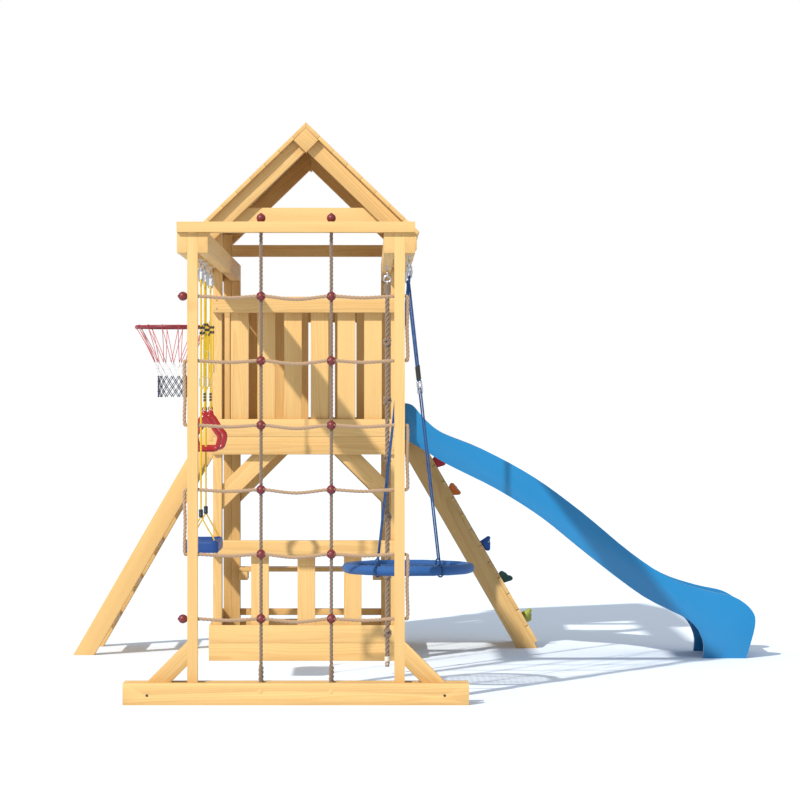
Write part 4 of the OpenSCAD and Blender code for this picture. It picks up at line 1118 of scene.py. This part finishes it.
def nest_rim():
    """A padded sleeve: puckered along its stitched inner seam and pinched under the rope loops."""
    around, sides = 288, 26
    verts, fibre = [], []
    corners = [NEST_ROPE_A, pi - NEST_ROPE_A, -NEST_ROPE_A, NEST_ROPE_A - pi]
    for i in range(around):
        a = TAU * i / around
        near = min(abs((a - c + pi) % TAU - pi) for c in corners)
        pinch = 0.0016 * exp(-(near / 0.035) ** 2)
        fold = 0.0013 * exp(-((near - 0.10) / 0.05) ** 2)
        for k in range(sides):
            b = TAU * k / sides
            away = abs(b - pi)
            seam = exp(-(away / 0.22) ** 2)
            pucker = 0.0007 * sin(a * 96) * exp(-(away / 0.8) ** 2)
            lump = 0.0011 * noise.noise(Vector((3.1 * cos(a), 3.1 * sin(a), 0.8 * sin(b))))
            r = RIM_R - 0.0008 - pinch - 0.0014 * seam + pucker + lump
            r += fold * sin(5 * b + 40 * a) * 0.6
            verts.append(NEST + polar(NEST_R + r * cos(b), a, r * sin(b)))
            fibre.append((a * NEST_R, b, RIM_R))
    piece = new_piece("nest_rim_sleeve", [(verts, skin(around, sides, closed=True))], "nest_cover",
                      "nest_swing", nodes=["nest_rim"], attributes={"fibre": fibre})
    stitches = Tubes()
    for i in range(STITCHES):
        a0, a1 = TAU * i / STITCHES, TAU * (i + 0.55) / STITCHES
        for height in (-0.0052, 0.0052):
            r = NEST_R - sqrt((RIM_R - 0.0018) ** 2 - height ** 2)
            stitches.add([NEST + polar(r, a, height) for a in (a0, (a0 + a1) / 2, a1)], 0.0007, 5)
    stitches.piece("nest_rim_stitches", "rope_blue", "nest_swing", "nest_cover")


def nest_web():
    """Cords over and under each other, each tied round the rim inside the sleeve."""
    cords = Tubes()
    pitch, cord_r, lift = 0.030, 0.0028, 0.0027
    reach = NEST_R - RIM_R + 0.003
    count = int(reach / pitch)
    for way in (0, 1):
        for k in range(-count, count + 1):
            off = k * pitch
            half = sqrt(reach ** 2 - off ** 2)
            steps = max(8, round(2 * half / 0.0075))
            line = []
            for i in range(steps + 1):
                t = -half + 2 * half * i / steps
                up = lift * cos(pi * t / pitch + pi * (k + way))
                line.append(NEST + (Vector((t, off, up)) if way == 0 else Vector((off, t, up))))
            cords.add(line, cord_r)
    cords.piece("nest_woven_cords", "nest_cord", "nest_swing", nodes=["nest_web"])


def nest_ropes():
    hang = Hanging("nest_ropes", "nest_swing", "rope_blue")
    places = []
    for sy in (-1, 1):
        hook = Vector((NEST.x, NEST.y + sy * NEST_HOOK_DY, LOOP_Z))
        places.append((hook.x, hook.y))
        rope_loop(hang.rope, *hook)
        top = hook - UP * LOOP_R
        for sx in (-1, 1):
            flat = Vector((sx * NEST_R * cos(NEST_ROPE_A), sy * NEST_R * sin(NEST_ROPE_A), 0))
            end = NEST + flat + UP * WRAP_R
            mid = top.lerp(end, (top.z - ADJUSTER_Z) / (top.z - end.z))
            rope_along(hang.rope, [top, mid])
            rope_along(hang.rope, [mid, end], LEG_D)
            turn = circle_line(NEST + flat, WRAP_R, flat.cross(UP), 48)
            hang.rope.twisted(turn, LEG_D, SWING_LAY, closed=True)
            along = (top - mid).normalized()
            whipping(hang.binding, mid + along * 0.022, mid + along * 0.085, SWING_ROPE_D)
            hang.steel.append(barrel(mid, along, 0.0088, 0.030))
            hang.steel.append(oval(mid - along * 0.028, 0.0070, 0.0150, 0.0018, (1, 0, 0)))
    hang.pieces("nest_ropes")
    links("nest_quick_links", places, "nest_swing")


nest_rim()
nest_web()
nest_ropes()


# ---- climbing rope ----

CLIMB_X, CLIMB_Y = centre_of("climbing_rope").xy
CLIMB_TOP, CLIMB_FOOT = high("climbing_rope").z, low("climbing_rope").z
CLIMB_D = 0.023
CLIMB_LAY = 3.2
KNOT_COUNT = 6
KNOT_R = half_of("climbing_rope_knots").x
KNOT_STEPS = 72
FERRULE_LEN = 0.044
FRAYED_YARNS = 46


def by_rope(z, radius=0.0, angle=0.0):
    """A place on the climbing rope's middle line, or beside it."""
    return Vector((CLIMB_X, CLIMB_Y, z)) + polar(radius, angle)


def climbing_rope():
    body = "climbing_rope_body"
    path = spaced([by_rope(CLIMB_TOP), by_rope(CLIMB_FOOT)], 0.005)
    laid, knots, tail, seizing = Tubes(), Tubes(), Tubes(), Tubes()
    laid.twisted(path, CLIMB_D, CLIMB_LAY, sides=10)
    rope_piece = laid.piece("climbing_rope_laid", "rope_brown", body, nodes=["climbing_rope"])
    bottom = low("climbing_rope_knots").z + KNOT_R
    step = (high("climbing_rope_knots").z - KNOT_R - bottom) / (KNOT_COUNT - 1)
    for i in range(KNOT_COUNT):
        turns = [TAU * k / KNOT_STEPS for k in range(KNOT_STEPS)]
        knots.twisted([by_rope(bottom + i * step + 0.0135 * sin(3 * u), 0.0128 + 0.0018 * cos(3 * u),
                               2 * u + i * 1.1) for u in turns], 0.0150, CLIMB_LAY, closed=True)
    knot_piece = knots.piece("climbing_rope_knots_laid", "rope_brown", body,
                             nodes=["climbing_rope_knots"])
    draw = random.Random("frayed end")
    for _ in range(FRAYED_YARNS):
        a, out = draw.uniform(0, TAU), CLIMB_D / 2 * sqrt(draw.random()) * 0.9
        foot = by_rope(CLIMB_FOOT + 0.022, out, a)
        spread = draw.uniform(1.0, 1.35)
        end = by_rope(CLIMB_FOOT + draw.uniform(0, 0.008), spread * out, a + 0.4)
        tail.add(spline([foot, foot.lerp(end, 0.5) + UP * 0.002, end], steps=3), 0.0011, 5, ends=0.4)
    whipping(tail, by_rope(CLIMB_FOOT + 0.024), by_rope(CLIMB_FOOT + 0.048), CLIMB_D, 0.0012)
    ferrule_foot = low("climbing_rope_fitting").z
    whipping(seizing, by_rope(ferrule_foot + 0.001), by_rope(ferrule_foot + FERRULE_LEN),
             CLIMB_D + 0.007, 0.0016)
    seizing.piece("climbing_rope_seizing", "rope_brown", body)
    end_piece = tail.piece("climbing_rope_frayed_end", "rope_frayed", body, "rope_brown")


climbing_rope()


# ---- hoop net ----

HOOP_ROD_R = 0.008
HOOP_R = half_of("hoop_net").x
HOOP = centre_of("hoop_net")
HOOP.z = high("hoop_net").z + HOOP_ROD_R + TOUCH
NET_LOOPS = 14
NET_PROFILE = [(HOOP_R, HOOP_ROD_R), (0.0915, 0.182), (0.0735, 0.253), (0.0735, 0.356)]


def hoop_net_radius(depth):
    for (r0, d0), (r1, d1) in zip(NET_PROFILE, NET_PROFILE[1:]):
        if depth <= d1:
            return r0 + (r1 - r0) * (depth - d0) / (d1 - d0)
    return NET_PROFILE[-1][0]


def hoop_net_knot(row, k):
    depth = HOOP_NET_ROWS[row][0]
    a = TAU * (k + 0.5 * (row % 2)) / NET_LOOPS
    return HOOP + polar(hoop_net_radius(depth), a, -depth)


HOOP_NET_ROWS = [(0.0095, "red"), (0.182, "white"), (0.2175, "white"), (0.253, "blue"),
                 (0.279, "blue"), (0.305, "blue"), (0.330, "blue"), (0.3545, "blue")]
HOOP_CORD_R = {"red": 0.0017, "white": 0.0014, "blue": 0.0019}


def outward_at(place):
    """The level direction from the hoop's middle to a place."""
    return Vector((place.x - HOOP.x, place.y - HOOP.y, 0)).normalized()


def hoop_cord_ring(tubes, place, radius, diameter):
    """The round of cord that a knot in the net is seen as."""
    tubes.twisted(circle_line(place, radius, (place - HOOP).cross(UP), 12), diameter, closed=True,
                  sides=5)


def hoop_net():
    made = {colour: Tubes() for colour in HOOP_CORD_R}
    for row in range(len(HOOP_NET_ROWS) - 1):
        colour = HOOP_NET_ROWS[row][1]
        tubes, thick = made[colour], HOOP_CORD_R[colour]
        for k in range(NET_LOOPS):
            a = hoop_net_knot(row, k)
            for j in ((k, k - 1) if row % 2 == 0 else (k, k + 1)):
                b = hoop_net_knot(row + 1, j)
                middle = (a + b) / 2
                bow = -0.004 if row == 0 else 0.001
                tubes.add(spline([a, middle + outward_at(middle) * bow, b], steps=5), thick, 6)
            if row:
                hoop_cord_ring(tubes, a, thick * 1.4, thick * 2.2)
            else:
                rod = HOOP + outward_at(a) * HOOP_R
                tubes.add(circle_line(rod, HOOP_ROD_R + thick, (a - HOOP).cross(UP), 20), thick, 6,
                          closed=True)
    for k in range(NET_LOOPS):
        hoop_cord_ring(made["blue"], hoop_net_knot(len(HOOP_NET_ROWS) - 1, k), 0.0026, 0.0042)
    for colour, tubes in made.items():
        tubes.piece("hoop_net_" + colour, "cord_" + colour, slot="net_cord", nodes=["hoop_net"])


hoop_net()


# ---- climbing holds ----

HOLDS = {"climbing_hold_1": "hold_olive", "climbing_hold_2": "hold_dark_green",
         "climbing_hold_3": "hold_blue", "climbing_hold_4": "hold_orange",
         "climbing_hold_5": "hold_red"}


HOLD_VOXEL = 0.0022


def climbing_hold(node, material, number):
    """The hold's lump made fine and smooth, then worn into finger ledges and shallow dents."""
    bm = cad_bmesh(node)
    lump = bpy.data.meshes.new(node + "_rough")
    bm.to_mesh(lump)
    bm.free()
    rough = linked(bpy.data.objects.new(node + "_rough", lump))
    remesh = rough.modifiers.new("remesh", "REMESH")
    remesh.mode = "VOXEL"
    remesh.voxel_size = HOLD_VOXEL
    smooth = rough.modifiers.new("smooth", "SMOOTH")
    smooth.factor = 0.6
    smooth.iterations = 7
    graph = bpy.context.evaluated_depsgraph_get()
    mesh = bpy.data.meshes.new_from_object(rough.evaluated_get(graph))
    bpy.data.objects.remove(rough)
    normals = [v.normal.copy() for v in mesh.vertices]
    for v, normal in zip(mesh.vertices, normals):
        at = v.co * 26 + Vector((number * 7.3, 0, 0))
        ledge = noise.noise(at)
        dent = noise.noise(at * 2.3 + Vector((0, 5.1, 0)))
        grain = noise.noise(v.co * 900)
        facing = max(0.0, normal.x)
        v.co += normal * (facing * (0.0022 * ledge + 0.0011 * dent - 0.0016) + 0.00016 * grain)
    settled(node + "_sculpted", mesh, material, "root", [node])


for number, (node, material) in enumerate(HOLDS.items()):
    climbing_hold(node, material, number)


# ---- carried-over CAD nodes ----

for node, material in {"hanger_eyes": "zinc_steel", "climbing_hold_bolts": "zinc_steel",
                       "climbing_rope_fitting": "zinc_steel", "hoop_ring": "hoop_red"}.items():
    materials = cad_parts[node].data.materials
    materials.clear()
    materials.append(MATERIALS[material])
